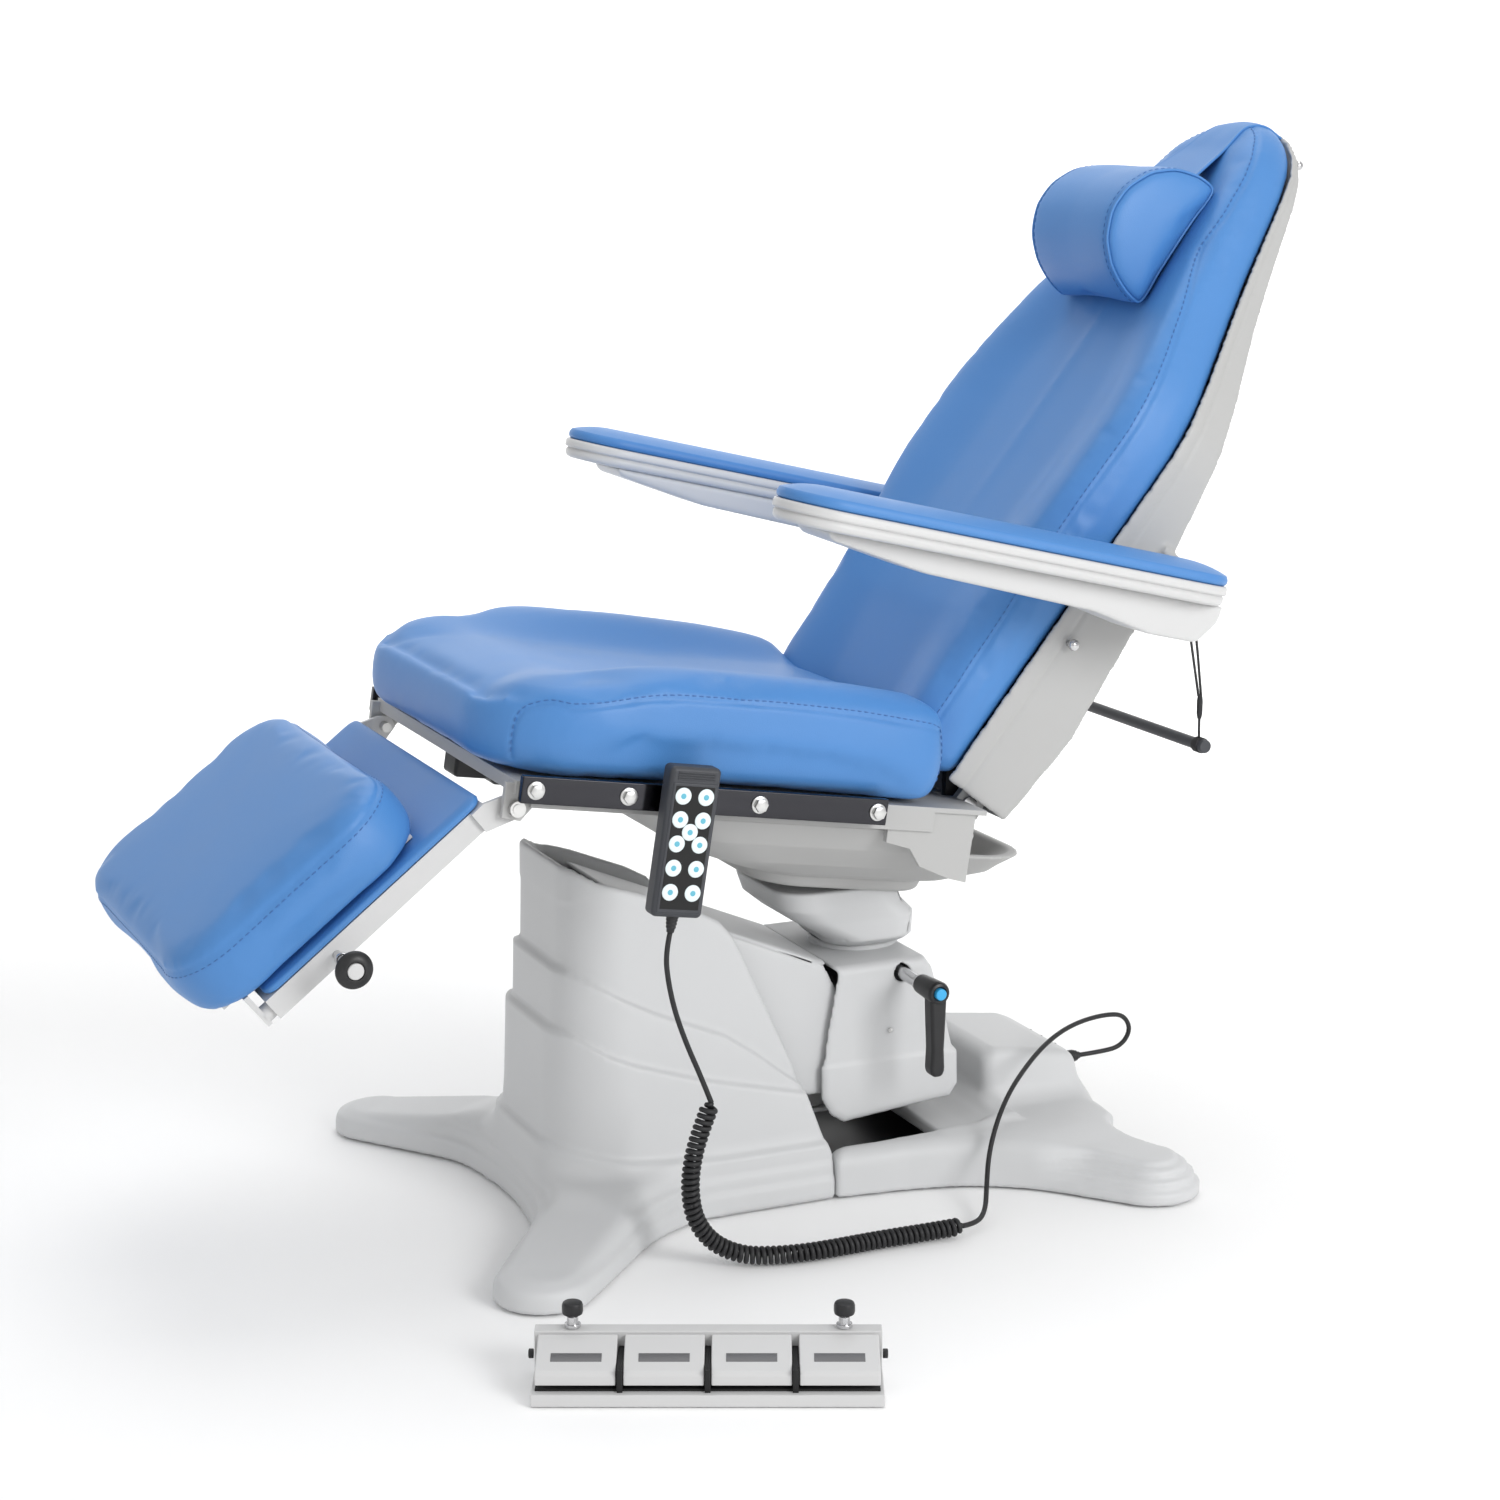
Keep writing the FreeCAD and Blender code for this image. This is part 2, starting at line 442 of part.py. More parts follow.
bf += both(lambda: prism_xz([(5, 120), (5, -20), (48, -82), (80, -80), (82, -50), (40, 120)], -160, -150).cut(cyl(9.05, (HINGE_B.x, -180, HINGE_B.z), (0, 1, 0), 40)))
bf += both(lambda: prism_xz([(3, 200), (3, 290), (20, 290), (79, 258), (81, 226), (20, 200)], -200, -190).cut(cyl(12.05, (ARM_B.x, -220, ARM_B.z), (0, 1, 0), 60)))
bf += both(lambda: box(3, 8, -200, -148, 200, 290))
feat("backrest_frame", fuse(*bf), BACK)
feat("back_hinge_pins", Part.makeCompound([cyl(9, (204, sy * 148 if sy > 0 else sy * 180, 484), (0, 1, 0), 32) for sy in (-1, 1)]), SEAT)
feat("backrest_cushion", prism_yz(outline(3, -58), -62, 1.5), BACK)
scr = []
for sy in (-1, 1):
    scr.append(fuse(cyl(4, (30, sy * 224.0, 152), (0, sy, 0), 12), Part.makeSphere(7, V(30, sy * 240, 152))))
    scr.append(fuse(cyl(4, (8, sy * 70, 826), (1, 0, 0), 14), Part.makeSphere(6, V(25, sy * 70, 826))))
scr = [s.cut(sh_o) for s in scr]
feat("shell_screws", Part.makeCompound(scr), BACK)
pil = prism_xz([(-63, 560), (-122, 570), (-158, 606), (-163, 664), (-134, 720), (-63, 738)], -112, 112)
feat("head_pillow", pil, BACK)
st = fuse(box(-66, -62.3, -58, 58, 739.5, 864), box(-66, 28, -58, 58, 860.3, 864), box(24.5, 28, -58, 58, 770, 864))
feat("pillow_strap", st, BACK)

# ------------------------------------------------------------------ armrests
def stadium(x0, x1, y0, y1, z0, z1):
    r = (y1 - y0) / 2
    return fuse(box(x0 + r, x1 - r, y0, y1, z0, z1), cyl(r, (x0 + r, y0 + r, z0), (0, 0, 1), z1 - z0), cyl(r, (x1 - r, y0 + r, z0), (0, 0, 1), z1 - z0))


for side_name, sy in (("left", -1), ("right", 1)):
    y0, y1 = (-376, -254) if sy < 0 else (254, 376)
    tray = stadium(-119, 457, y0, y1, 733, 756).cut(stadium(-113, 451, y0 + 6, y1 - 6, 750, 760))
    feat("armrest_tray_" + side_name, tray, ARM)
    feat("armrest_pad_" + side_name, fuse(stadium(-112, 450, y0 + 7, y1 - 7, 750.3, 757), stadium(-117, 455, y0 + 2, y1 - 2, 757, 774)), ARM)
    a0, a1 = (-346, -262) if sy < 0 else (262, 346)
    under = prism_xz([(-70, 732.7), (-60, 722), (60, 706), (280, 700), (360, 686), (424, 686), (446, 712), (450, 732.7)], a0, a1)
    top = box(300, 500, -400, 400, 650, 732.7)
    boss = cyl(26, (S("arm_px"), -262, S("arm_pz")), (0, 1, 0), 14) if sy < 0 else cyl(26, (S("arm_px"), 248, S("arm_pz")), (0, 1, 0), 14)
    shaft = cyl(12, (S("arm_px"), -262, S("arm_pz")), (0, 1, 0), 76) if sy < 0 else cyl(12, (S("arm_px"), 186, S("arm_pz")), (0, 1, 0), 76)
    feat("armrest_arm_" + side_name, fuse(under, boss.common(top), shaft), ARM)

# ------------------------------------------------------------------ paper roll bar on elastic cords, behind the back
bar = p_cyl("bar_rod", "Dims.bar_rad", "Dims.bar_len", (490, -255, 536), (0, 1, 0))
capn = p_cyl("bar_cap_n", "Dims.bar_rad + 1.2", "10", (490, -258, 536), (0, 1, 0))
capf = p_cyl("bar_cap_f", "Dims.bar_rad + 1.2", "10", (490, 248, 536), (0, 1, 0))
pb = doc.addObject("Part::MultiFuse", "paper_bar")
pb.Shapes = [bar, capn, capf]
keep(pb, "paper_bar")
er = S("elastic_rad")
strands = []
hgx, hgz = S("hang_x"), S("hang_z")
for sy in (-1, 1):
    y = sy * 245
    def rod(a, b):
        d = V(*b) - V(*a)
        return Part.makeCylinder(er, d.Length, V(*a), d)
    ring = cyl(6.4, (hgx, y - 1.8, hgz), (0, 1, 0), 3.6)
    loop = fuse(ring, rod((hgx - 2, y, hgz - 5), (486.6, y, 594)), rod((hgx + 4, y, hgz - 3.5), (489.8, y, 594)), cyl(4, (488.2, y, 566), (0, 0, 1), 29),
                cyl(er, (488.2, y, 544), (0, 0, 1), 24), cyl(10, (490, y - 2, 536), (0, 1, 0), 4))
    strands.append(loop.cut(fuse(cyl(4.08, (hgx, y - 5, hgz), (0, 1, 0), 10), cyl(S("bar_rad"), (490, y - 3, 536), (0, 1, 0), 8))))
feat("paper_cords", Part.makeCompound(strands))

# ------------------------------------------------------------------ handset on the rail, its curly cord and its plug
hx, hw2 = -212.5, S("handset_wide") / 2
hz = 445
hset = fuse(soft_box(hx - hw2, hx + hw2, -309, -309 + S("handset_thick"), hz - S("handset_high") / 2, hz + S("handset_high") / 2, 5),
            prism_yz([(-284, 501.5), (-284, 505.5), (-256, 505.5), (-256, 480), (-259.5, 480), (-259.5, 501.5)], hx - 14, hx + 14))
gland = Part.makeCone(7, 5, 20, V(hx, -296, hz - S("handset_high") / 2 + 1), V(0, 0, -1))
feat("handset_shell", fuse(hset, gland), SEAT)
keys = [box(hx - 24, hx + 24, -310.2, -309.05, 377, 517)]
KP = [(-13.5, 502), (13.5, 502), (-13.5, 475), (13.5, 475), (0, 461), (-13.5, 447.5), (13.5, 447.5), (-13.5, 420), (13.5, 420), (-13.5, 393), (13.5, 393)]
for kx, kz in KP:
    keys.append(cyl(9, (hx + kx, -310.2, kz), (0, -1, 0), 0.9))
feat("handset_keypad", fuse(*keys), SEAT)
g_end = SEAT.multVec(V(hx, -296, hz - S("handset_high") / 2 - 19))


def tube(pts, r, name):
    """A round cord: straight runs joined by arcs as large as the runs allow."""
    P = [V(*p) for p in pts]
    edges, cur, total, radii = [], P[0], 0.0, []
    for i in range(1, len(P) - 1):
        a, b = P[i - 1] - P[i], P[i + 1] - P[i]
        la, lb = a.Length, b.Length
        a.normalize(); b.normalize()
        turn = math.pi - math.acos(max(-1, min(1, a.dot(b))))
        t = 0.45 * min(la, lb)
        rad = t / math.tan(turn / 2)
        radii.append(round(rad, 1))
        bis = a + b
        bis.normalize()
        mid = P[i] + bis * (math.hypot(rad, t) - rad)
        s, e = P[i] + a * t, P[i] + b * t
        edges.append(Part.LineSegment(cur, s).toShape())
        edges.append(Part.Arc(s, mid, e).toShape())
        cur = e
    edges.append(Part.LineSegment(cur, P[-1]).toShape())
    w = Part.Wire(edges)
    d = P[1] - P[0]
    prof = Part.Wire([Part.Circle(P[0], d, r).toShape()])
    sh = w.makePipeShell([prof], True, False)
    length = sum(x.Length for x in edges)
    print(name, "length", round(length, 1), "radii", radii, "volume ratio", round(sh.Volume / (math.pi * r * r * length), 4))
    return sh


LEAD_A = [(g_end.x, g_end.y, g_end.z), (-224, -296, 376), (-222, -296.5, 346), (-214, -297, 308), (-200, -297, 268), (-183, -296.5, 229), (-171.5, -296.06, 199.6)]
COIL = [(-170, -296, 196), (-182, -296, 168), (-193, -296, 134), (-197, -296, 97), (-191, -297, 60), (-171, -301, 31), (-138, -308, 14), (-104, -319, 12.2), (-66, -326, 12), (-26, -327, 12.2), (14, -325, 12), (54, -326, 12.2), (96, -328, 12.6), (132, -331, 14)]
LEAD_B = [(133.8, -330.6, 13.8), (154, -326, 12), (180, -298, 14), (202, -260, 26), (220, -231, 54), (242, -210, 86), (274, -182, 110), (312, -152, 126), (352, -122, 138), (394, -97, 147), (437, -77, 150), (480, -64, 149), (510, -57.5, 143), (523, -55.5, 121), (510, -53, 99), (480, -51.2, 95.2), (450, -51, 95)]
feat("cord_lead_front", tube(LEAD_A, S("cord_rad"), "cord_lead_front"))
feat("cord_coil", tube(COIL, S("coil_rad"), "cord_coil"))
feat("cord_lead_rear", tube(LEAD_B, S("cord_rad"), "cord_lead_rear"))
feat("handset_plug", fuse(cyl(8, (428, -51, 95), (1, 0, 0), 14), Part.makeCone(6.5, 4.2, 8, V(442, -51, 95), V(1, 0, 0))))

# ------------------------------------------------------------------ foot control
cl, cd = S("control_long") / 2, S("control_deep") / 2
fb = [prism_xy([(-cl, -cd), (cl, -cd), (cl, cd), (-cl, cd)], 0, 14)]
fb.append(box(-cl, cl, 22, cd, 10, 54))
for x in (-89, 0, 89):
    fb.append(box(x - 3.2, x + 3.2, -cd + 6, 24, 12, 40))
    fb.append(box(x - 3.2, x + 3.2, 8, 23, 36, 46))
for sx in (-1, 1):
    fb.append(box(min(sx * 175.8, sx * cl), max(sx * 175.8, sx * cl), 4, 24, 12, 47))
    fb.append(cyl(5, (sx * cl, 14, 34), (sx, 0, 0), 5))
fb.append(cyl(S("rod_rad"), (-cl, 14, 41), (1, 0, 0), 2 * cl))
feat("foot_base", fuse(*fb).cut(fuse(*[cyl(5.05, (x, 33, 36), (0, 0, 1), 30) for x in (-140, 140)])), FOOT)
for i, x in enumerate((-134, -44.5, 44.5, 134)):
    hw = S("pedal_wide") / 2
    ped = prism_yz([(-38, 21), (21, 34), (21, 52), (-35, 34), (-38, 31)], x - hw, x + hw)
    ped = ped.cut(cyl(S("rod_rad") + 0.05, (x - hw - 1, 14, 41), (1, 0, 0), 2 * hw + 2))
    feat("foot_pedal_%d" % (i + 1), ped, FOOT)
for i, x in enumerate((-140, 140)):
    pl = [p_cyl("pl_knob", "11", "14", (x, 33, 68), (0, 0, 1), FOOT), p_cyl("pl_stem", "5", "24.5", (x, 33, 44.2), (0, 0, 1), FOOT)]
    m = doc.addObject("Part::MultiFuse", "foot_plunger_%d" % (i + 1))
    m.Shapes = pl
    keep(m, "foot_plunger_%d" % (i + 1))

# ------------------------------------------------------------------ check and write
doc.recompute()
bad = [o.Label for o in doc.Objects if "Invalid" in o.State or "Error" in o.State]
assert not bad, bad
assert len(OUT) <= 60, len(OUT)
for o in OUT:
    s = o.Shape
    assert not s.isNull() and s.isValid(), o.Label
    assert s.Solids and all(q.Volume > 1 for q in s.Solids), o.Label
os.makedirs("parts", exist_ok=True)
for f in os.listdir("parts"):
    if f.endswith(".step"):
        os.remove(os.path.join("parts", f))
for o in OUT:
    o.Shape.exportStep(os.path.join("parts", o.Label + ".step"))
print(len(OUT), "nodes")
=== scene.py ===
import json
import math
import bpy
import bmesh
import numpy as np
from mathutils import Vector, Matrix
from mathutils.bvhtree import BVHTree
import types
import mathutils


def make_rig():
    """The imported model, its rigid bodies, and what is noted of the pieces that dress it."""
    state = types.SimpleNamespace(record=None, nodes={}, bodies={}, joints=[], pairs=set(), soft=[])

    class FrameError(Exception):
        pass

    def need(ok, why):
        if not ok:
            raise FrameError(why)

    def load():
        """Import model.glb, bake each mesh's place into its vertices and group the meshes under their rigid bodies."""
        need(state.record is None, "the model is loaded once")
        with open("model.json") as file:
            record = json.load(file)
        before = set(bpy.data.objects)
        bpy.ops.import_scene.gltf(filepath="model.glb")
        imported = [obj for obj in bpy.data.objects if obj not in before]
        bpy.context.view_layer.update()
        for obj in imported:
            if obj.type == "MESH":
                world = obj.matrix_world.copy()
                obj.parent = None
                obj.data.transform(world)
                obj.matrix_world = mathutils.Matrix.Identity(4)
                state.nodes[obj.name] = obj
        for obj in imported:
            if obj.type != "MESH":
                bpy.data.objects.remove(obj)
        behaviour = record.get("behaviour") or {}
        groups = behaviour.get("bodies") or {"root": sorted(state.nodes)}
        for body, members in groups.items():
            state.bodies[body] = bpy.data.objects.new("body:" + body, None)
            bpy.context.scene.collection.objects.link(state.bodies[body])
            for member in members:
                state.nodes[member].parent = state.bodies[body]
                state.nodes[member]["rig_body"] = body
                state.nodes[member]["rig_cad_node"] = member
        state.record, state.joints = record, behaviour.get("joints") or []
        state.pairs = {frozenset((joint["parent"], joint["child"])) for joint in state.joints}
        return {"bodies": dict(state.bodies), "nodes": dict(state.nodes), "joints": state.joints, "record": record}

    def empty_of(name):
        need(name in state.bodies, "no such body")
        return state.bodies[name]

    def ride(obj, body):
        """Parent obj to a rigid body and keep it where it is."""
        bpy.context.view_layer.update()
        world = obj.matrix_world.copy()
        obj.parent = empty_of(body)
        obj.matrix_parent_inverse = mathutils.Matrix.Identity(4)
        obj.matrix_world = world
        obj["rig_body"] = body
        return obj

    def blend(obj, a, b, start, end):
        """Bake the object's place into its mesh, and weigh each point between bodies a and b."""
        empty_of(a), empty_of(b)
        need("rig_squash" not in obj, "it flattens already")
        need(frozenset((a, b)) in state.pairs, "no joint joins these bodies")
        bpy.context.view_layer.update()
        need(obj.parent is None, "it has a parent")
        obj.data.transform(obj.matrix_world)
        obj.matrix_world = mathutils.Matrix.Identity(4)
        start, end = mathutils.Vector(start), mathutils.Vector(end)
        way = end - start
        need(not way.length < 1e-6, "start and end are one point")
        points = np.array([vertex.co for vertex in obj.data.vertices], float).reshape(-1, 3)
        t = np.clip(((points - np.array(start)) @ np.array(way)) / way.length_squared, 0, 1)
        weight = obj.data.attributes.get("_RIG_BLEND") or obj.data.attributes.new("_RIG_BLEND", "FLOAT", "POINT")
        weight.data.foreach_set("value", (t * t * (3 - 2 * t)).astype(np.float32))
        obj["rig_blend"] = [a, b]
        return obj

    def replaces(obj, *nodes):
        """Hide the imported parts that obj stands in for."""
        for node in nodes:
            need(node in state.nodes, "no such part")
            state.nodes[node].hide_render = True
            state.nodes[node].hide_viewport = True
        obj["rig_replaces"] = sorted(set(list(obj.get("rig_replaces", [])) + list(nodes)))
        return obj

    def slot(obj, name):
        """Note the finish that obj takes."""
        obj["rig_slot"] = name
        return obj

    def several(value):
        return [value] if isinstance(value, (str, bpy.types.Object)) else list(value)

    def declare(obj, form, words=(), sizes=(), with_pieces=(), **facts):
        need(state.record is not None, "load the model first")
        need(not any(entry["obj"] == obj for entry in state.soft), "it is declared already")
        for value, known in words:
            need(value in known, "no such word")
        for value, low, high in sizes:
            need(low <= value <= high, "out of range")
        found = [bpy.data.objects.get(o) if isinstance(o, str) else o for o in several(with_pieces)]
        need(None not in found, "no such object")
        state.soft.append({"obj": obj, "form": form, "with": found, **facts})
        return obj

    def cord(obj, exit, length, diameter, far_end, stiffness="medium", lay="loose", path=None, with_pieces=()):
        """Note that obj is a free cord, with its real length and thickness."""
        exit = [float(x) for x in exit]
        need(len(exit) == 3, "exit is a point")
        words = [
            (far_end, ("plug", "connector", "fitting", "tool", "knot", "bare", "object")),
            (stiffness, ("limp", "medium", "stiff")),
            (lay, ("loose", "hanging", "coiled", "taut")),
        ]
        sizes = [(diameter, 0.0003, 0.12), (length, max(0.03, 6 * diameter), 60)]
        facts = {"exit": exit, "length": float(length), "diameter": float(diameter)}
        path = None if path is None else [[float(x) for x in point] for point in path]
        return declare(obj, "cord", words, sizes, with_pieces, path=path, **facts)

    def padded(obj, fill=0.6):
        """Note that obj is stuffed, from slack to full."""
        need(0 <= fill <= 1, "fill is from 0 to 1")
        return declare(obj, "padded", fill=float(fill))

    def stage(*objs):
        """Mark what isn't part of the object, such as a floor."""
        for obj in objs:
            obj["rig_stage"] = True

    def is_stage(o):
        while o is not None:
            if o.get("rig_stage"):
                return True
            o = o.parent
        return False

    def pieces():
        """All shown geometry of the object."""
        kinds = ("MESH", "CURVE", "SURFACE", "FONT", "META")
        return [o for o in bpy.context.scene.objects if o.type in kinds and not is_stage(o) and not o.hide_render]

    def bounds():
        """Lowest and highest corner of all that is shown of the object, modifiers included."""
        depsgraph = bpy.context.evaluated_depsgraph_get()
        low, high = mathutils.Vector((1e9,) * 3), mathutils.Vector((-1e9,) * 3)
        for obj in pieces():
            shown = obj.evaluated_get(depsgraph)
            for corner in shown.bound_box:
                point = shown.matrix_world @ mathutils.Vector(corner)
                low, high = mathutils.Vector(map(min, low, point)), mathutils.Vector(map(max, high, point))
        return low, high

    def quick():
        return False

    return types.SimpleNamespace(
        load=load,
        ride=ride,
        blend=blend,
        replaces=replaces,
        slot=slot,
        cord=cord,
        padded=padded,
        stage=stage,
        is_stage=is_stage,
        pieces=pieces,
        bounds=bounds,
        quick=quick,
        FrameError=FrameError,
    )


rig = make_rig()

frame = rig.load()
lo0, hi0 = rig.bounds()
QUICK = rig.quick()
D = math.radians


# ------------------------------------------------------------------ frames (mm in, metres out)
def ry(deg):
    c, s = math.cos(D(deg)), math.sin(D(deg))
    return np.array([[c, 0, s], [0, 1, 0], [-s, 0, c]])


def rz(deg):
    c, s = math.cos(D(deg)), math.sin(D(deg))
    return np.array([[c, -s, 0], [s, c, 0], [0, 0, 1]])


class F:
    def __init__(s, R, o, piv=(0, 0, 0)):
        s.R, s.o, s.p = R, np.array(o, float), np.array(piv, float)

    def __call__(s, pts):
        return ((np.asarray(pts, float).reshape(-1, 3) - s.p) @ s.R.T + s.o) / 1000.0

    def dir(s, d):
        return s.R @ np.array(d, float)


T = (150, 0, 410)
WORLD = F(np.eye(3), (0, 0, 0))
SEAT = F(ry(8.9), T, T)
HL = SEAT([(-391, 0, 460)])[0] * 1000
LEG = F(ry(8.9 - 47), HL)
BACK = F(ry(37), (203, 0, 565))
ARM = F(ry(13.2), (400, 0, 720), (400, 0, 720))
FOOT = F(rz(-24.2), (-302.6, -592, 0))
LIFT = F(ry(math.degrees(math.atan2(156, 350))), (-220, 0, 350))


# ------------------------------------------------------------------ materials: every one procedural
def srgb(r, g, b):
    f = lambda c: (c / 255 / 12.92) if c / 255 <= 0.04045 else ((c / 255 + 0.055) / 1.055) ** 2.4
    return (f(r), f(g), f(b), 1)


def material(name, col, rough, metal=0.0, grain=400.0, bump=0.05, dist=0.0004, vary=0.06, coat=0.0, spec=0.5, voro=False):
    m = bpy.data.materials.new(name)
    m.use_nodes = True
    nt = m.node_tree
    b = nt.nodes["Principled BSDF"]
    b.inputs["Roughness"].default_value = rough
    b.inputs["Metallic"].default_value = metal
    b.inputs["Specular IOR Level"].default_value = spec
    b.inputs["Coat Weight"].default_value = coat
    b.inputs["Coat Roughness"].default_value = 0.25
    tc = nt.nodes.new("ShaderNodeTexCoord")
    big = nt.nodes.new("ShaderNodeTexNoise")
    big.inputs["Scale"].default_value = 7.0
    big.inputs["Detail"].default_value = 3.0
    nt.links.new(tc.outputs["Object"], big.inputs["Vector"])
    ramp = nt.nodes.new("ShaderNodeMix")
    ramp.data_type = "RGBA"
    k = 1 - vary
    ramp.inputs["A"].default_value = (col[0] * k, col[1] * k, col[2] * k, 1)
    k = 1 + vary
    ramp.inputs["B"].default_value = (min(1, col[0] * k), min(1, col[1] * k), min(1, col[2] * k), 1)
    nt.links.new(big.outputs["Fac"], ramp.inputs["Factor"])
    nt.links.new(ramp.outputs["Result"], b.inputs["Base Color"])
    fine = nt.nodes.new("ShaderNodeTexVoronoi" if voro else "ShaderNodeTexNoise")
    fine.inputs["Scale"].default_value = grain
    nt.links.new(tc.outputs["Object"], fine.inputs["Vector"])
    src = fine.outputs["Distance"] if voro else fine.outputs["Fac"]
    bp = nt.nodes.new("ShaderNodeBump")
    bp.inputs["Strength"].default_value = bump
    bp.inputs["Distance"].default_value = dist
    nt.links.new(src, bp.inputs["Height"])
    nt.links.new(bp.outputs["Normal"], b.inputs["Normal"])
    mr = nt.nodes.new("ShaderNodeMapRange")
    mr.inputs["To Min"].default_value = max(0.02, rough - 0.06)
    mr.inputs["To Max"].default_value = min(1, rough + 0.06)
    nt.links.new(big.outputs["Fac"], mr.inputs["Value"])
    nt.links.new(mr.outputs["Result"], b.inputs["Roughness"])
    return m


M = {
    "vinyl": material("vinyl", srgb(74, 131, 194), 0.45, grain=900, bump=0.25, dist=0.0004, vary=0.05, voro=True, spec=0.45),
    "stitch": material("stitch", srgb(62, 108, 168), 0.6, grain=2000, bump=0.3),
    "cover": material("cover", srgb(204, 205, 206), 0.5, grain=1400, bump=0.12, dist=0.0003, vary=0.015),
    # shell: the cover grey laid on darker, as painted shade for the seat's underside, the seat pan and the back shell;
    # its finish is the cover grey
    "shell": material("shell", srgb(176, 176, 175), 0.5, grain=1400, bump=0.12, dist=0.0003, vary=0.015),
    "white": material("white", srgb(203, 203, 203), 0.42, grain=1200, bump=0.06, vary=0.012),
    "steel": material("steel", (0.62, 0.62, 0.63, 1), 0.2, metal=1.0, grain=300, bump=0.03, vary=0.05),
    # rail: polished steel with a near-black base colour, a painted dark reflection
    "rail": material("rail", (0.045, 0.045, 0.05, 1), 0.12, metal=1.0, grain=160, bump=0.02, vary=0.15),
    "zinc": material("zinc", (0.66, 0.66, 0.65, 1), 0.3, metal=1.0, grain=500, bump=0.06, vary=0.1),
    "black_steel": material("black_steel", srgb(34, 34, 36), 0.45, grain=700, bump=0.1),
    "grey_steel": material("grey_steel", srgb(140, 141, 143), 0.5, grain=700, bump=0.1),
    "black": material("black", srgb(26, 26, 28), 0.4, grain=900, bump=0.12),
    "charcoal": material("charcoal", srgb(58, 60, 65), 0.5, grain=1600, bump=0.2),
    "rubber": material("rubber", srgb(30, 30, 32), 0.55, grain=900, bump=0.1),
    "key": material("key", srgb(226, 238, 240), 0.4, grain=900, bump=0.05, vary=0.03),
    "glyph": material("glyph", srgb(96, 178, 200), 0.5, grain=900, bump=0.05),
    "blue": material("blue", srgb(58, 170, 226), 0.3, grain=800, bump=0.05),
    "elastic": material("elastic", srgb(44, 44, 46), 0.8, grain=3000, bump=0.4),
    "window": material("window", srgb(98, 98, 100), 0.35, grain=900, bump=0.05),
    # dark: the handset's black key foil, and painted shade in the gaps between and under the foot pedals
    "dark": material("dark", srgb(18, 18, 19), 0.7, grain=600, bump=0.1),
}
SLOT = {"vinyl": "vinyl", "stitch": "vinyl", "cover": "cover_grey", "shell": "cover_grey", "white": "white_plastic", "steel": "steel", "rail": "steel",
        "zinc": "steel", "black_steel": "black_steel", "black": "black_plastic", "charcoal": "charcoal", "rubber": "black_rubber", "key": "charcoal",
        "glyph": "charcoal", "blue": "blue_plastic", "elastic": "elastic", "window": "charcoal", "dark": "black_plastic"}


# ------------------------------------------------------------------ mesh helpers
def new_obj(name, me):
    o = bpy.data.objects.new(name, me)
    bpy.context.scene.collection.objects.link(o)
    return o


def bevel(o, width, seg, angle):
    """Rounds the edges sharper than an angle."""
    bm = bmesh.new()
    bm.from_mesh(o.data)
    bmesh.ops.remove_doubles(bm, verts=bm.verts, dist=1e-6)
    bmesh.ops.recalc_face_normals(bm, faces=bm.faces)
    ed = [e for e in bm.edges if len(e.link_faces) == 2 and e.calc_face_angle(0) > D(angle)]
    if ed:
        bmesh.ops.bevel(bm, geom=ed, offset=width, segments=seg, profile=0.5, affect="EDGES", clamp_overlap=True)
    bm.to_mesh(o.data)
    bm.free()


def lean_normals(o):
    me = o.data
    n = len(me.vertices)
    acc = np.zeros((n, 3))
    ar = np.zeros(len(me.polygons))
    me.polygons.foreach_get("area", ar)
    no = np.zeros(len(me.polygons) * 3)
    me.polygons.foreach_get("normal", no)
    no = no.reshape(-1, 3)
    li = np.zeros(len(me.loops), int)
    me.loops.foreach_get("vertex_index", li)
    tot = np.zeros(len(me.polygons), int)
    me.polygons.foreach_get("loop_total", tot)
    pf = np.repeat(np.arange(len(me.polygons)), tot)
    np.add.at(acc, li, (no * ar[:, None])[pf])
    acc /= np.maximum(np.linalg.norm(acc, axis=1), 1e-12)[:, None]
    me.normals_split_custom_set_from_vertices([tuple(a) for a in acc])


def finish_piece(o, body, mat, replaces=(), smooth=True):
    o.data.materials.clear()
    o.data.materials.append(M[mat])
    for p in o.data.polygons:
        p.use_smooth = smooth
    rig.ride(o, body)
    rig.slot(o, SLOT[mat])
    if replaces:
        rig.replaces(o, *replaces)
    return o


def mesh(name, verts, faces):
    me = bpy.data.meshes.new(name)
    me.from_pydata([tuple(v) for v in verts], [], [tuple(int(i) for i in f) for f in faces])
    me.validate()
    me.update()
    return me


def fix_normals(o):
    bm = bmesh.new()
    bm.from_mesh(o.data)
    bmesh.ops.remove_doubles(bm, verts=bm.verts, dist=1e-6)
    bmesh.ops.recalc_face_normals(bm, faces=bm.faces)
    bm.to_mesh(o.data)
    bm.free()


def apply_mods(o):
    side = bpy.data.scenes.new("work")
    side.collection.objects.link(o)
    vl = side.view_layers[0]
    vl.update()
    me = bpy.data.meshes.new_from_object(o.evaluated_get(vl.depsgraph))
    bpy.data.scenes.remove(side)
    old = o.data
    o.modifiers.clear()
    o.data = me
    bpy.data.meshes.remove(old)
    return o


def get_co(o):
    a = np.zeros(len(o.data.vertices) * 3)
    o.data.vertices.foreach_get("co", a)
    return a.reshape(-1, 3)


def set_co(o, a):
    o.data.vertices.foreach_set("co", a.ravel())
    o.data.update()


def get_no(o):
    a = np.zeros(len(o.data.vertices) * 3)
    o.data.vertices.foreach_get("normal", a)
    return a.reshape(-1, 3)


def remesh(o, voxel, iters, factor=0.5):
    r = o.modifiers.new("r", "REMESH")
    r.mode = "VOXEL"
    r.voxel_size = voxel
    if iters:
        s = o.modifiers.new("s", "SMOOTH")
        s.factor = factor
        s.iterations = iters
    return apply_mods(o)


def copy_node(name, node):
    return new_obj(name, frame["nodes"][node].data.copy())


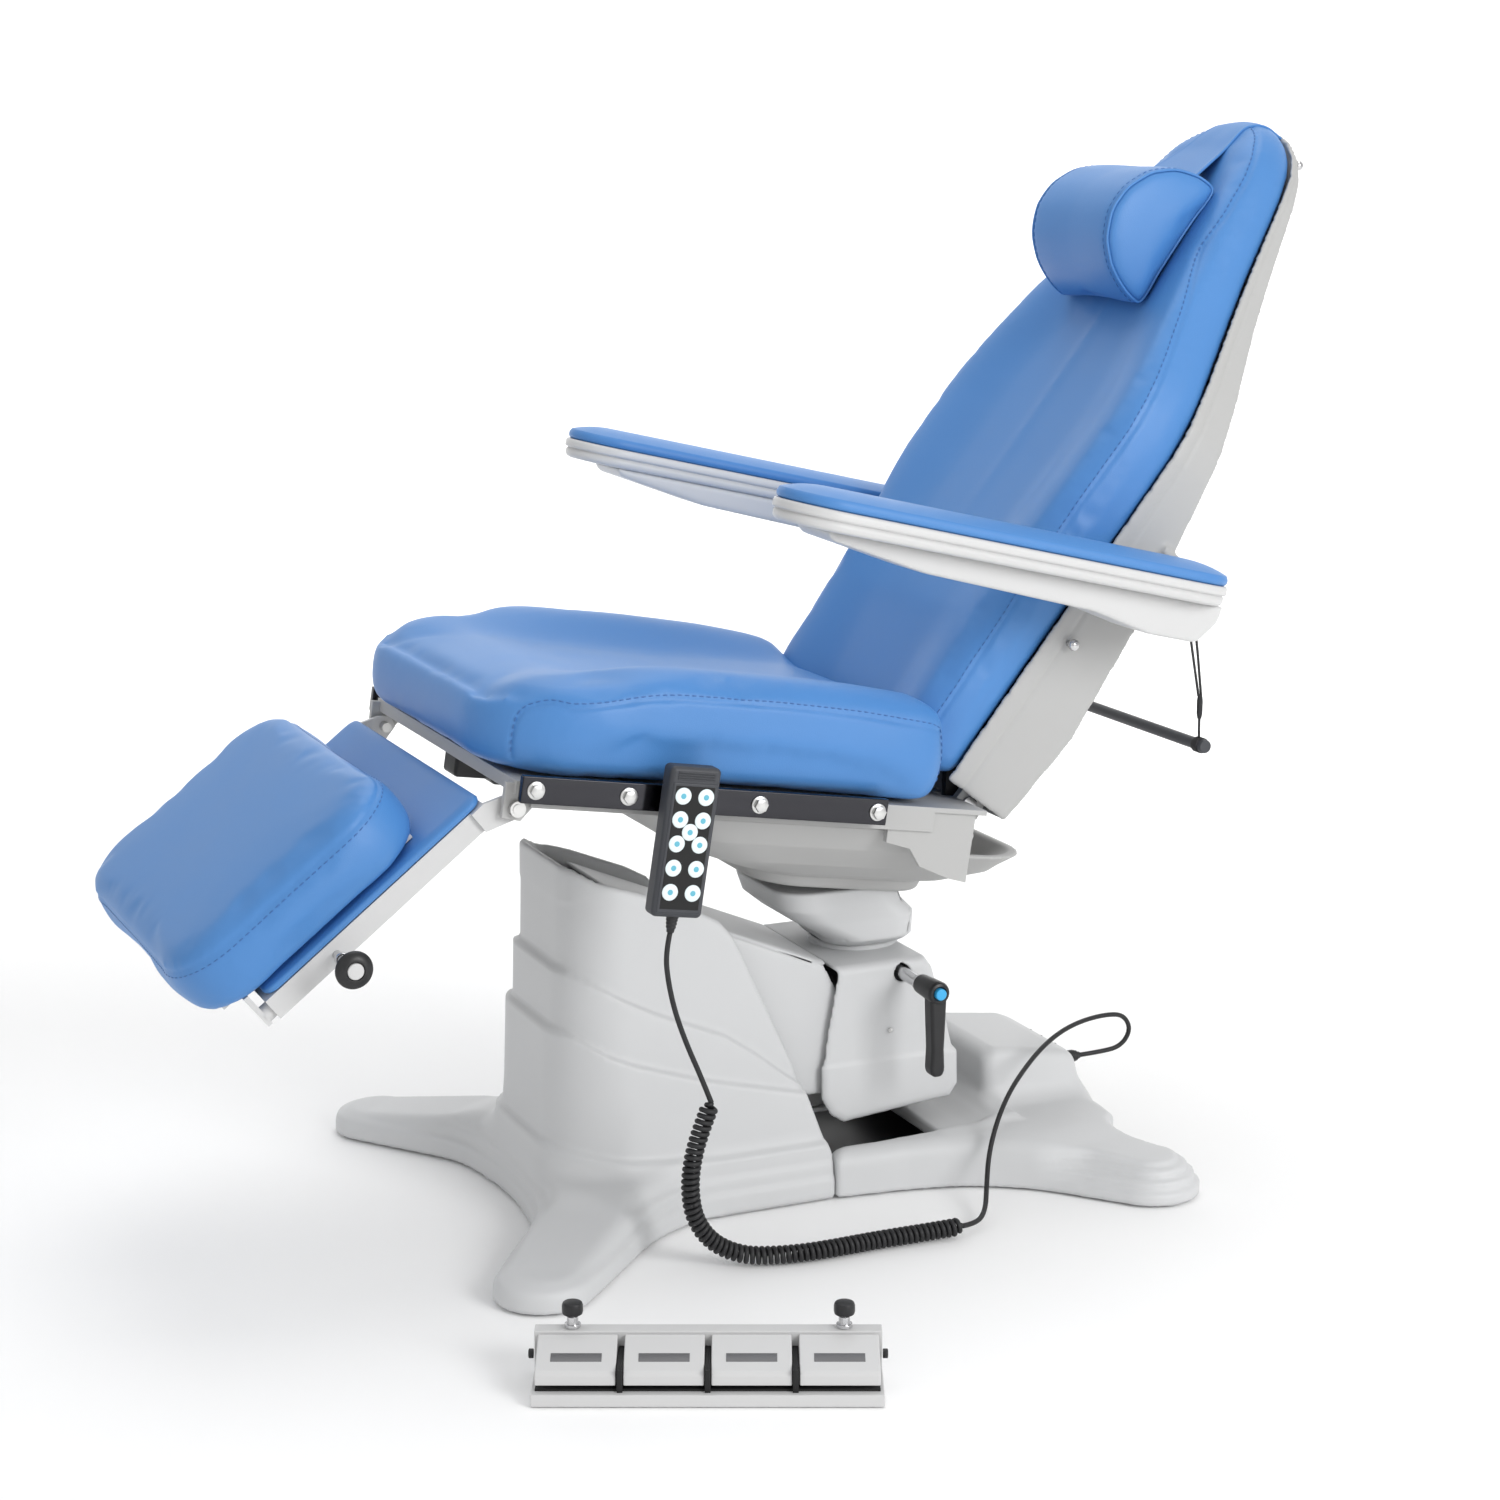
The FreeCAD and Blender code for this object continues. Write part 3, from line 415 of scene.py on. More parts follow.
def soft_copy(name, node, body, mat, voxel=0.004, iters=10, warp=None):
    """A moulded look for a CAD piece: its own form with the edges run together."""
    o = copy_node(name, node)
    fix_normals(o)
    remesh(o, voxel, iters)
    if warp:
        warp(o)
    return finish_piece(o, body, mat, [node])


def bevel_copy(name, node, body, mat, width=0.002, seg=3, angle=30, replaces=True):
    o = copy_node(name, node)
    fix_normals(o)
    bevel(o, width, seg, angle)
    finish_piece(o, body, mat, [node] if replaces else ())
    lean_normals(o)
    return o


def lathe(name, prof, fr, base, axis, body, mat, n=48, replaces=()):
    """Turned piece: prof is (distance along axis, radius) in mm."""
    ax = np.array(axis, float)
    ax /= np.linalg.norm(ax)
    t = np.array([0, 0, 1.0]) if abs(ax[2]) < 0.9 else np.array([1.0, 0, 0])
    u = np.cross(ax, t)
    u /= np.linalg.norm(u)
    w = np.cross(ax, u)
    v, f = [], []
    for a, r in prof:
        for k in range(n):
            th = 2 * math.pi * k / n
            v.append(np.array(base) + ax * a + (u * math.cos(th) + w * math.sin(th)) * max(r, 0.01))
    m = len(prof)
    for i in range(m - 1):
        for k in range(n):
            f.append((i * n + k, i * n + (k + 1) % n, (i + 1) * n + (k + 1) % n, (i + 1) * n + k))
    f.append(tuple(range(n)))
    f.append(tuple((m - 1) * n + k for k in range(n)))
    o = new_obj(name, mesh(name, fr(v), f))
    fix_normals(o)
    bevel(o, 0.0006, 2, 40)
    finish_piece(o, body, mat, replaces)
    lean_normals(o)
    return o


def rbox(name, lo, hi, fr, body, mat, r=2.0, seg=4, replaces=()):
    x0, y0, z0 = lo
    x1, y1, z1 = hi
    v = [(x0, y0, z0), (x1, y0, z0), (x1, y1, z0), (x0, y1, z0), (x0, y0, z1), (x1, y0, z1), (x1, y1, z1), (x0, y1, z1)]
    f = [(0, 3, 2, 1), (4, 5, 6, 7), (0, 1, 5, 4), (1, 2, 6, 5), (2, 3, 7, 6), (3, 0, 4, 7)]
    o = new_obj(name, mesh(name, fr(v), f))
    fix_normals(o)
    bevel(o, r / 1000, seg, 20)
    finish_piece(o, body, mat, replaces)
    lean_normals(o)
    return o


def prism(name, pts, a0, a1, fr, body, mat, plane="xz", r=1.5, seg=3, replaces=()):
    n = len(pts)
    mk = {"xz": lambda p, a: (p[0], a, p[1]), "yz": lambda p, a: (a, p[0], p[1]), "xy": lambda p, a: (p[0], p[1], a)}[plane]
    v = [mk(p, a0) for p in pts] + [mk(p, a1) for p in pts]
    f = [tuple(range(n)), tuple(range(n, 2 * n))] + [(i, (i + 1) % n, n + (i + 1) % n, n + i) for i in range(n)]
    o = new_obj(name, mesh(name, fr(v), f))
    fix_normals(o)
    if r:
        bevel(o, r / 1000, seg, 25)
    finish_piece(o, body, mat, replaces)
    lean_normals(o)
    return o


def smoothstep(t):
    t = np.clip(t, 0, 1)
    return t * t * (3 - 2 * t)


def arc_pts(cx, cy, r, a0, a1, n):
    return [(cx + r * math.cos(D(a0 + (a1 - a0) * k / n)), cy + r * math.sin(D(a0 + (a1 - a0) * k / n))) for k in range(n + 1)]


def round_rect(x0, x1, y0, y1, r, n=10):
    p = []
    for cx, cy, a in ((x1 - r, y1 - r, 0), (x0 + r, y1 - r, 90), (x0 + r, y0 + r, 180), (x1 - r, y0 + r, 270)):
        p += arc_pts(cx, cy, r, a, a + 90, n)
    return p


def resample(pts, step, closed=True):
    P = np.array(pts, float)
    if closed:
        P = np.vstack([P, P[:1]])
    d = np.linalg.norm(np.diff(P, axis=0), axis=1)
    keep = np.concatenate([[True], d > 1e-9])
    P = P[keep]
    s = np.concatenate([[0], np.cumsum(np.linalg.norm(np.diff(P, axis=0), axis=1))])
    n = max(8, int(round(s[-1] / step)))
    q = np.linspace(0, s[-1], n + (0 if closed else 1), endpoint=not closed)
    return np.stack([np.interp(q, s, P[:, k]) for k in range(P.shape[1])], 1)


def edge_dist(P, O):
    """Distance of plan points P to the closed outline O."""
    A, B = O, np.roll(O, -1, 0)
    out = np.full(len(P), 1e9)
    d = B - A
    L = (d * d).sum(1)
    for k in range(len(A)):
        t = np.clip(((P - A[k]) @ d[k]) / max(L[k], 1e-9), 0, 1)
        q = P - A[k] - t[:, None] * d[k]
        out = np.minimum(out, np.sqrt((q * q).sum(1)))
    return out


def cushion(name, outline, medial, side, top, place, fr, flat_bottom=True, rings=None):
    """Padded form: outline in plan, side = [(inset, height or function)] from below, top(p, q, e) the crown."""
    O = resample(outline, 6.0)
    n = len(O)
    nxt, prv = np.roll(O, -1, 0), np.roll(O, 1, 0)
    tan = nxt - prv
    tan /= np.linalg.norm(tan, axis=1)[:, None]
    nor = np.stack([tan[:, 1], -tan[:, 0]], 1)
    cen = O.mean(0)
    if ((O - cen) * nor).sum() < 0:
        nor = -nor
    Mx = np.array([medial(p) for p in O])
    P, H = [], []
    for inset, h in side:
        q = O - nor * inset
        P.append(q)
        H.append(np.array([h(*a) if callable(h) else h for a in q], float))
    rings = rings if rings is not None else [0.006, 0.014, 0.024, 0.036, 0.05, 0.066, 0.084, 0.105, 0.13, 0.16, 0.195, 0.235, 0.28, 0.33, 0.385, 0.445, 0.51, 0.58, 0.655, 0.735, 0.82, 0.91, 1.0]
    edge = P[-1]
    for t in rings:
        q = edge * (1 - t) + Mx * t
        e = edge_dist(q, edge)
        P.append(q)
        H.append(top(q[:, 0], q[:, 1], e))
    m = len(P)
    V = np.vstack([place(p, h) for p, h in zip(P, H)])
    f = []
    for i in range(m - 1):
        for k in range(n):
            f.append((i * n + k, i * n + (k + 1) % n, (i + 1) * n + (k + 1) % n, (i + 1) * n + k))
    # the bottom is filled ring to ring towards the same spine
    base = len(V)
    B = [place(P[0] * (1 - t) + Mx * t, H[0]) for t in (0.35, 0.7, 1.0)]
    V = np.vstack([V] + B)
    ids = [0] + [base + j * n for j in range(3)]
    for a, b in zip(ids[:-1], ids[1:]):
        for k in range(n):
            f.append((a + (k + 1) % n, a + k, b + k, b + (k + 1) % n))
    o = new_obj(name, mesh(name, fr(V), f))
    bm = bmesh.new()
    bm.from_mesh(o.data)
    bmesh.ops.remove_doubles(bm, verts=bm.verts, dist=0.0004)
    bmesh.ops.holes_fill(bm, edges=bm.edges, sides=0)
    bmesh.ops.recalc_face_normals(bm, faces=bm.faces)
    bm.to_mesh(o.data)
    bm.free()
    return o


def inflate(o, voxel=0.006, cap=0.006, pressure=4.0, frames=20):
    """Stuffed look: the shell is blown up as cloth for a short time and the travel is capped."""
    remesh(o, voxel, 4)
    if not QUICK:
        rest = get_co(o)
        c = o.modifiers.new("c", "CLOTH")
        s = c.settings
        s.quality = 5
        s.mass = 0.3
        s.tension_stiffness = 25
        s.compression_stiffness = 25
        s.bending_stiffness = 6
        s.use_pressure = True
        s.uniform_pressure_force = pressure
        s.effector_weights.gravity = 0
        c.point_cache.frame_start = 1
        c.point_cache.frame_end = frames
        side = bpy.data.scenes.new("work")
        side.collection.objects.link(o)
        for k in range(1, frames + 1):
            side.frame_set(k)
        me = bpy.data.meshes.new_from_object(o.evaluated_get(side.view_layers[0].depsgraph))
        o.modifiers.clear()
        bpy.data.scenes.remove(side)
        now = np.zeros(len(me.vertices) * 3)
        me.vertices.foreach_get("co", now)
        now = now.reshape(-1, 3)
        bpy.data.meshes.remove(me)
        d = now - rest
        L = np.linalg.norm(d, axis=1)
        k = np.minimum(1, cap / np.maximum(L, 1e-9))
        set_co(o, rest + d * k[:, None])
    s = o.modifiers.new("s", "SMOOTH")
    s.factor = 0.5
    s.iterations = 3
    d = o.modifiers.new("d", "SUBSURF")
    d.levels = d.render_levels = 1
    return apply_mods(o)


def bvh(o):
    me = o.data
    me.calc_loop_triangles()
    t = np.zeros(len(me.loop_triangles) * 3, int)
    me.loop_triangles.foreach_get("vertices", t)
    return BVHTree.FromPolygons(get_co(o).tolist(), t.reshape(-1, 3).tolist(), all_triangles=True)


def onto(tree, pts, lift=0.0):
    """Points (metres) moved to the nearest place on a surface; returns places and normals."""
    P, N = [], []
    for p in pts:
        loc, nor, _, _ = tree.find_nearest(Vector(p))
        P.append(np.array(loc) + np.array(nor) * lift)
        N.append(np.array(nor))
    return np.array(P), np.array(N)


def groove(o, line, depth, width):
    """A sewn line pulls the cover in along a polyline (metres)."""
    L = resample(line, 0.003, closed=False)
    co, no = get_co(o), get_no(o)
    lo, hi = L.min(0) - 0.02, L.max(0) + 0.02
    near = np.where(((co > lo) & (co < hi)).all(1))[0]
    q = co[near]
    best = np.full(len(q), 1e9)
    for k in range(0, len(L), 16):
        S = L[k:k + 16]
        m = np.where(((q > S.min(0) - 0.01) & (q < S.max(0) + 0.01)).all(1))[0]
        if len(m):
            best[m] = np.minimum(best[m], ((q[m, None] - S[None]) ** 2).sum(2).min(1))
    best = np.sqrt(best)
    co[near] = q - no[near] * (depth * np.exp(-(best / width) ** 2))[:, None]
    set_co(o, co)


def tube_mesh(name, pts, r, n=12, cap=True):
    """Round tube through points in metres."""
    P = np.array(pts, float)
    m = len(P)
    tan = np.gradient(P, axis=0)
    tan /= np.linalg.norm(tan, axis=1)[:, None]
    t0 = np.array([0, 0, 1.0]) if abs(tan[0][2]) < 0.9 else np.array([1.0, 0, 0])
    u = np.cross(tan[0], t0)
    u /= np.linalg.norm(u)
    v, f = [], []
    for i in range(m):
        u = u - tan[i] * (u @ tan[i])
        u /= np.linalg.norm(u)
        w = np.cross(tan[i], u)
        for k in range(n):
            th = 2 * math.pi * k / n
            v.append(P[i] + (u * math.cos(th) + w * math.sin(th)) * r)
    for i in range(m - 1):
        for k in range(n):
            f.append((i * n + k, i * n + (k + 1) % n, (i + 1) * n + (k + 1) % n, (i + 1) * n + k))
    if cap:
        f.append(tuple(range(n))[::-1])
        f.append(tuple((m - 1) * n + k for k in range(n)))
    o = new_obj(name, mesh(name, v, f))
    fix_normals(o)
    return o


def stitches(name, line, tree, body, mat="stitch", pitch=0.0085, ln=0.0055, r=0.0007):
    """A row of short thread stitches on a surface."""
    L = resample(line, pitch, closed=False)
    P, N = onto(tree, L, 0.0002)
    v, f = [], []
    for i in range(len(P) - 1):
        a, b = P[i], P[i + 1]
        d = b - a
        l = np.linalg.norm(d)
        if l < 1e-5 or l > 3 * pitch:
            continue
        d /= l
        n = N[i]
        s = np.cross(n, d)
        c = (a + b) / 2
        base = len(v)
        h = ln / 2
        ring = []
        for t, k in ((-1, 0.35), (-0.6, 0.9), (0, 1.0), (0.6, 0.9), (1, 0.35)):
            for q in range(6):
                th = 2 * math.pi * q / 6
                v.append(c + d * h * t + (s * math.cos(th) + n * math.sin(th)) * r * k)
        for i2 in range(4):
            for q in range(6):
                f.append((base + i2 * 6 + q, base + i2 * 6 + (q + 1) % 6, base + (i2 + 1) * 6 + (q + 1) % 6, base + (i2 + 1) * 6 + q))
        f.append(tuple(base + q for q in range(6)))
        f.append(tuple(base + 24 + q for q in range(6)))
    o = new_obj(name, mesh(name, v, f))
    fix_normals(o)
    return finish_piece(o, body, mat)


def relax(o, weight, n):
    """Points drawn to the middle of their neighbours, by a weight from their place in the frame of the back (mm)."""
    P = get_co(o)
    E = np.array([e.vertices[:] for e in o.data.edges])
    loc = (P * 1000 - np.array((203, 0, 565))) @ BACK.R
    w_ = (weight(loc) * (loc[:, 0] < -20))[:, None] * 0.6
    deg = np.bincount(E.ravel(), minlength=len(P)).astype(float)[:, None]
    for _ in range(n):
        S = np.zeros_like(P)
        np.add.at(S, E[:, 0], P[E[:, 1]])
        np.add.at(S, E[:, 1], P[E[:, 0]])
        P = P * (1 - w_) + w_ * S / deg
    set_co(o, P)


# ------------------------------------------------------------------ moulded covers from distance fields (mm)
def smin(a, b, k):
    h = np.clip(0.5 + 0.5 * (b - a) / k, 0, 1)
    return b * (1 - h) + a * h - k * h * (1 - h)


def smax(a, b, k):
    return -smin(-a, -b, k)


def rrect2(x, y, x0, x1, hy, r):
    qx = np.abs(x - (x0 + x1) / 2) - (x1 - x0) / 2 + r
    qy = np.abs(y) - hy + r
    return np.minimum(np.maximum(qx, qy), 0) + np.hypot(np.maximum(qx, 0), np.maximum(qy, 0)) - r


def seg2(x, y, ax, ay, bx, by, ra, rb):
    dx, dy = bx - ax, by - ay
    t = np.clip(((x - ax) * dx + (y - ay) * dy) / (dx * dx + dy * dy), 0, 1)
    return np.hypot(x - ax - t * dx, y - ay - t * dy) - (ra + (rb - ra) * t), t


def poly2(x, y, pts):
    P = np.array(pts, float)
    d = np.full(x.shape, 1e18)
    inside = np.zeros(x.shape, bool)
    n = len(P)
    for i in range(n):
        a, b = P[i], P[(i + 1) % n]
        e = b - a
        wx, wy = x - a[0], y - a[1]
        t = np.clip((wx * e[0] + wy * e[1]) / (e @ e), 0, 1)
        d = np.minimum(d, (wx - t * e[0]) ** 2 + (wy - t * e[1]) ** 2)
        c = ((a[1] > y) != (b[1] > y))
        with np.errstate(divide="ignore", invalid="ignore"):
            xi = (b[0] - a[0]) * (y - a[1]) / (b[1] - a[1] if b[1] != a[1] else 1e-9) + a[0]
        inside ^= c & (x < xi)
    return np.where(inside, -1, 1) * np.sqrt(d)


def field_mesh(name, f, lo, hi, step, fr, passes=12):
    """Surface of f(x, y, z) = 0: boundary faces of a voxel block, relaxed and drawn onto the surface."""
    ax = [np.arange(lo[k] - step, hi[k] + step * 1.5, step) for k in range(3)]
    X, Y, Z = np.meshgrid(*[a + step / 2 for a in ax], indexing="ij")
    I = f(X, Y, Z) < 0
    I[0], I[-1] = False, False
    I[:, 0], I[:, -1] = False, False
    I[:, :, 0], I[:, :, -1] = False, False
    sh = np.array([len(a) + 1 for a in ax])
    key = lambda i, j, k: (i * sh[1] + j) * sh[2] + k
    quads = []
    for d in range(3):
        A = np.take(I, range(I.shape[d] - 1), d)
        B = np.take(I, range(1, I.shape[d]), d)
        for src, flip in ((A & ~B, False), (~A & B, True)):
            c = np.argwhere(src)
            c[:, d] += 1
            o1, o2 = [(1, 2), (2, 0), (0, 1)][d]
            e1, e2 = np.eye(3, dtype=int)[o1], np.eye(3, dtype=int)[o2]
            q = [c, c + e1, c + e1 + e2, c + e2]
            if flip:
                q = q[::-1]
            quads.append(np.stack([key(*p.T) for p in q], 1))
    Q = np.vstack(quads)
    ids, inv = np.unique(Q, return_inverse=True)
    Q = inv.reshape(-1, 4)
    i = ids // (sh[1] * sh[2])
    j = (ids // sh[2]) % sh[1]
    k = ids % sh[2]
    P = np.stack([ax[0][0] + i * step, ax[1][0] + j * step, ax[2][0] + k * step], 1).astype(float)
    E = np.unique(np.sort(np.vstack([Q[:, [0, 1]], Q[:, [1, 2]], Q[:, [2, 3]], Q[:, [3, 0]]]), 1), axis=0)
    deg = np.bincount(E.ravel(), minlength=len(P)).astype(float)[:, None]
    h = 0.6
    for it in range(passes):
        S = np.zeros_like(P)
        np.add.at(S, E[:, 0], P[E[:, 1]])
        np.add.at(S, E[:, 1], P[E[:, 0]])
        w = 0.7 if it < passes - 3 else 0.25
        P = P * (1 - w) + w * S / deg
        v = f(*P.T)
        g = np.stack([(f(*(P + np.eye(3)[a] * h).T) - f(*(P - np.eye(3)[a] * h).T)) / (2 * h) for a in range(3)], 1)
        m = np.maximum((g * g).sum(1), 0.2)
        P = P - g * np.clip(v / m, -step, step)[:, None]
    o = new_obj(name, mesh(name, fr(P), Q))
    return o


def field_piece(name, f, lo, hi, step, fr, body, mat, replaces, passes=12):
    o = field_mesh(name, f, lo, hi, step, fr, passes)
    return finish_piece(o, body, mat, replaces)


def st(t):
    return smoothstep(t)


def f_front(x, y, z):
    ya = np.abs(y)
    xf = np.interp(z, [0, 60, 130, 250, 430], [-276, -272, -268, -265, -262])
    w = np.interp(z, [0, 60, 130, 250, 430], [132, 128, 124, 120, 117])
    xa = np.interp(x, [-330, -262, -230, -198, -165, -122, -79, -43, -7, 60], [306, 302, 285, 266, 249, 231, 213, 188, 159, 108])
    xb = np.interp(x, [-330, -262, -229, -194, -159, -120, -81, -37, 7, 60], [236, 230, 208, 193, 181, 168, 157, 146, 135, 122])
    xc = np.interp(x, [-330, -270, -203, -96, 28, 60], [96, 94, 80, 70, 70, 70])
    off = 8.5 * (1 - st((z - xa) / 6 + 0.5)) + 8.5 * (1 - st((z - xb) / 6 + 0.5)) + 8 * (1 - st((z - xc) / 6 + 0.5))
    tower = rrect2(x, y, xf, 200, w, 66) - off
    core = rrect2(x, y, -302, 200, 162, 84)
    leg, t = seg2(x, ya, -226, 128, -374, 302, 70, 56)
    plan = smin(core, leg, 70)
    plan = plan + 6 * st((z - 26) / 6) + 8 * st((z - 44) / 6) * (1 - st((core - 40) / 40))
    wgt = st((core + 6) / 70)
    h = 66 * (1 - wgt) + (66 - 32 * t) * wgt
    plate = smax(plan, (z - h), 22)
    f = smin(tower, plate, 22)
    rim = np.interp(x, [-330, -268, -250, -228, -182, -110, -81, -64, -49, 10, 43, 60], [434, 430, 424, 410, 395, 366, 350, 330, 299, 168, 75, 30])
    f = smax(f, (z - rim) * 0.72, 8)
    f = smax(f, x - 49.4, 3)
    well = rrect2(x, y, -256, 300, 107, 52)
    f = smax(f, -well, 4)
    sill = smax(smax(rrect2(x, y, -260, 300, 112, 56), 49 - np.hypot(x + 220, z - 350), 3), smax(z - rim + 9, np.maximum(x + 206, 384 - z), 3), 3)
    f = smin(f, sill, 8)
    return smax(f, 3 - z, 3)


def f_rear(x, y, z):
    ya = np.abs(y)
    half = np.interp(x, [40, 60, 140, 250, 300, 430, 450], [166, 168, 178, 202, 212, 196, 186])
    q = np.maximum(np.abs(x - 240) - 192, ya - half)
    core = np.where(q > 0, q, q)
    leg, t = seg2(x, ya, 306, 150, 407, 292, 74, 61)
    plan = smin(core, leg, 55)
    tip = np.hypot(x - 330, ya - 190)
    away = st((t - 0.3) / 0.4) * st((tip - 30) / 40)
    plan = plan + (7 * st((z - 17) / 4) + 9 * st((z - 29) / 4) + 10 * st((z - 40) / 4)) * away
    wgt = st((core + 10) / 60)
    top = np.interp(x, [40, 120, 260, 440], [58, 60, 66, 66])
    h = top * (1 - wgt) + (66 - 16 * t) * wgt
    plate = smax(plan, z - h, 24 - 15 * away)
    tp = np.interp(x, [270, 290, 308, 400, 425], [110, 128, 133, 120, 112])
    hw = np.interp(z, [40, 130], [112, 88])
    hump = smax(smax(ya - hw, np.abs(x - np.interp(z, [40, 130], [357, 356])) - np.interp(z, [40, 130], [74, 64]), 20), z - tp, 12)
    f = smin(plate, hump, 24)
    f = smax(f, 50.6 - x, 3)
    inner = np.maximum(np.maximum(40 - x, x - 281), ya - np.interp(x, [40, 281], [140, 152]))
    f = smax(f, -inner, 5)
    floor = smax(np.maximum(np.maximum(200 - x, x - 300), ya - 156), np.abs(z - 50) - 8 - 14 * st((x - 240) / 44), 4)
    f = smin(f, floor, 14)
    f = smax(f, -np.maximum(np.maximum(np.abs(x - 430) - 14, ya - 61), np.abs(z - 95) - 12), 2)
    under = np.maximum(np.maximum(np.abs(x - 358) - 58, ya - 82), z - 108)
    f = smax(f, -under, 3)
    return smax(f, 3 - z, 3)


field_piece("base_cover_front", f_front, (-440, -370, 0), (56, 370, 440), 4.5, WORLD, "base", "cover", ["front_base_cover"])
field_piece("base_cover_rear", f_rear, (46, -360, 0), (475, 360, 145), 4.5, WORLD, "base", "cover", ["rear_base_cover"])

# ------------------------------------------------------------------ lift and neck covers
HSIDE = [(74, 273), (60, 200), (53, 150), (54, 108), (66, 86), (84, 74), (232, 88), (243, 104), (242, 146), (236, 156), (226, 196), (207, 258), (196, 273)]
HIN = [(10, 40), (10, 267), (60, 267), (192, 267), (202, 255), (221, 194), (231, 154), (237, 144), (238, 106), (230, 40)]


def f_head(x, y, z):
    d = poly2(x, z, HSIDE)
    step = 2.2 * st((z - 150) / 5 + 0.5)
    f = smax(d + step * 0.4, np.abs(y) - 114 + step, 13)
    cav = smax(poly2(x, z, HIN), np.abs(y) - 107.5, 6)
    f = smax(f, -cav, 2.5)
    f = smax(f, 46.5 - np.hypot(x - 150, y) + np.where(z > 250, 0, -1e3), 1.5)
    f = smax(f, 11 - np.hypot(x - 163, z - 256) + np.where(y < 0, 0, -1e3), 1.0)
    return f


field_piece("lift_head_cover", f_head, (45, -118, 68), (250, 118, 280), 2.6, WORLD, "lift_head_body", "cover", ["head_cover"], 10)

ASIDE = [(10, 44), (292, 50), (326, 24), (352, -10), (366, -104), (316, -122), (120, -62), (20, -32), (10, 0)]


def f_arm(x, y, z):
    d = poly2(x, z, ASIDE)
    f = smax(d, np.abs(y) - 100, 14)
    cav = np.maximum(np.abs(y) - 95.5, z - np.interp(x, [2, 292], [39, 45]))
    f = smax(f, -cav, 2)
    return smax(f, 30 - np.hypot(x, z), 1)


field_piece("lift_arm_cover", f_arm, (0, -104, -128), (372, 104, 56), 2.6, LIFT, "lift_arm_body", "cover", ["arm_cover"], 10)


def f_neck(x, y, z):
    x0 = np.interp(z, [280, 292, 318, 336, 360], [97, 90, 46, 24, 16])
    x1 = np.interp(z, [280, 292, 318, 336, 360], [207, 208, 207, 188, 178])
    w = np.interp(z, [280, 290, 318, 336, 360], [60, 76, 81, 86, 88])
    d = rrect2(x, y, x0, x1, w, 40)
    f = smax(d * 0.8, np.abs(z - 320.5) - 40.5, 4)
    cav = np.minimum(np.maximum(np.maximum(np.abs(x - 150) - 43, np.abs(y) - 69), np.abs(z - 306) - 15),
                     np.maximum(np.maximum(np.abs(x - 144) - 37, np.abs(y) - 69), 320 - z))
    cav = np.minimum(cav, np.maximum(np.hypot(x - 150, y) - 52, np.abs(z - 285) - 8))
    return smax(f, -cav, 1.5)


field_piece("swivel_neck_cover", f_neck, (8, -92, 276), (216, 92, 364), 3.0, WORLD, "swivel", "cover", ["neck_cover"])


def f_shroud(x, y, z):
    zz = [350, 356, 372, 378, 400, 428, 460]
    px0, px1, pw = [-12, -12, -26, -52, -130, -190, -238], [216, 216, 222, 246, 280, 298, 300], [100, 100, 107, 128, 176, 212, 236]
    x0, x1, w = np.interp(z, zz, px0), np.interp(z, zz, px1), np.interp(z, zz, pw)
    rc = np.interp(z, [356, 378, 410], [56, 68, 84])
    d = rrect2(x, y, x0, x1, w, rc) * 0.62
    f = smax(smax(d, 356 - z, 6), z - 460.5, 2)
    inn = rrect2(x, y, np.interp(z - 5, zz, px0) + 8, np.interp(z - 5, zz, px1) - 7, np.interp(z - 5, zz, pw) - 7, rc - 6) * 0.62
    f = smax(f, -inn, 2)
    return smax(f, -np.maximum(np.maximum(186 - x, 429 - z), np.abs(y) - 400), 2)


# the seat's under cover takes the darker cover grey: painted shade under the seat
field_piece("seat_under_cover", f_shroud, (-246, -244, 350), (308, 244, 466), 3.6, SEAT, "seat", "shell", ["seat_shroud"])

# ------------------------------------------------------------------ seat
# the seat pan takes the darker cover grey: painted shade under the seat
bevel_copy("seat_pan", "seat_frame", "seat", "shell", 0.0012, 2)
bevel_copy("rails", "side_rails", "seat", "rail", 0.0012, 3)


def seam_z(x):
    k = np.array([-445, -425, -403, -370, -337, -300, -266, -231, -104, 0, 88, 130.0])
    v = np.array([566, 574, 580, 577, 575, 582, 590, 594, 595, 592, 585, 579.0])
    return sum(np.interp(x + d, k, v) for d in (-16, -8, 0, 8, 16)) / 5


def seat_top(p, q, e):
    R = 26.0
    es = 267 - np.abs(q)
    ef = p + 441
    mid = np.interp(p, [-440, -400, -337, -266, -100, 60, 126], [590, 594, 593, 589, 587, 589, 590])
    base = seam_z(p) + R
    base = base + (mid - base) * smoothstep((es - 52) / 105)
    base = base - 20 * (1 - smoothstep(ef / 110))
    R = np.where(ef < 90, 26 + 18 * (1 - smoothstep(ef / 90)), R)
    k = np.minimum(e, R)
    return base - R + np.sqrt(np.maximum(0, R * R - (R - k) ** 2))


seat_plan = []
for cx, cy, r_, a_ in ((126 - 40, 266 - 40, 40, 0), (-436 + 112, 266 - 112, 112, 90), (-436 + 112, -266 + 112, 112, 180), (126 - 40, -266 + 40, 40, 270)):
    seat_plan += arc_pts(cx, cy, r_, a_, a_ + 90, 14)
o = cushion("seat_upholstery", seat_plan, lambda p: (min(max(p[0], -178), -138), 0),
            [(22, 500), (10, 503), (3, 512), (-1, 528), (-2, 545), (-1, 560), (3, lambda x, y: float(seam_z(x)))], seat_top,
            lambda p, h: np.stack([p[:, 0], p[:, 1], h], 1), SEAT)
inflate(o, 0.006, 0.004, 3.0)
seat_o = o
finish_piece(o, "seat", "vinyl", ["seat_cushion"])
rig.padded(o, 0.8)


tree = bvh(o)


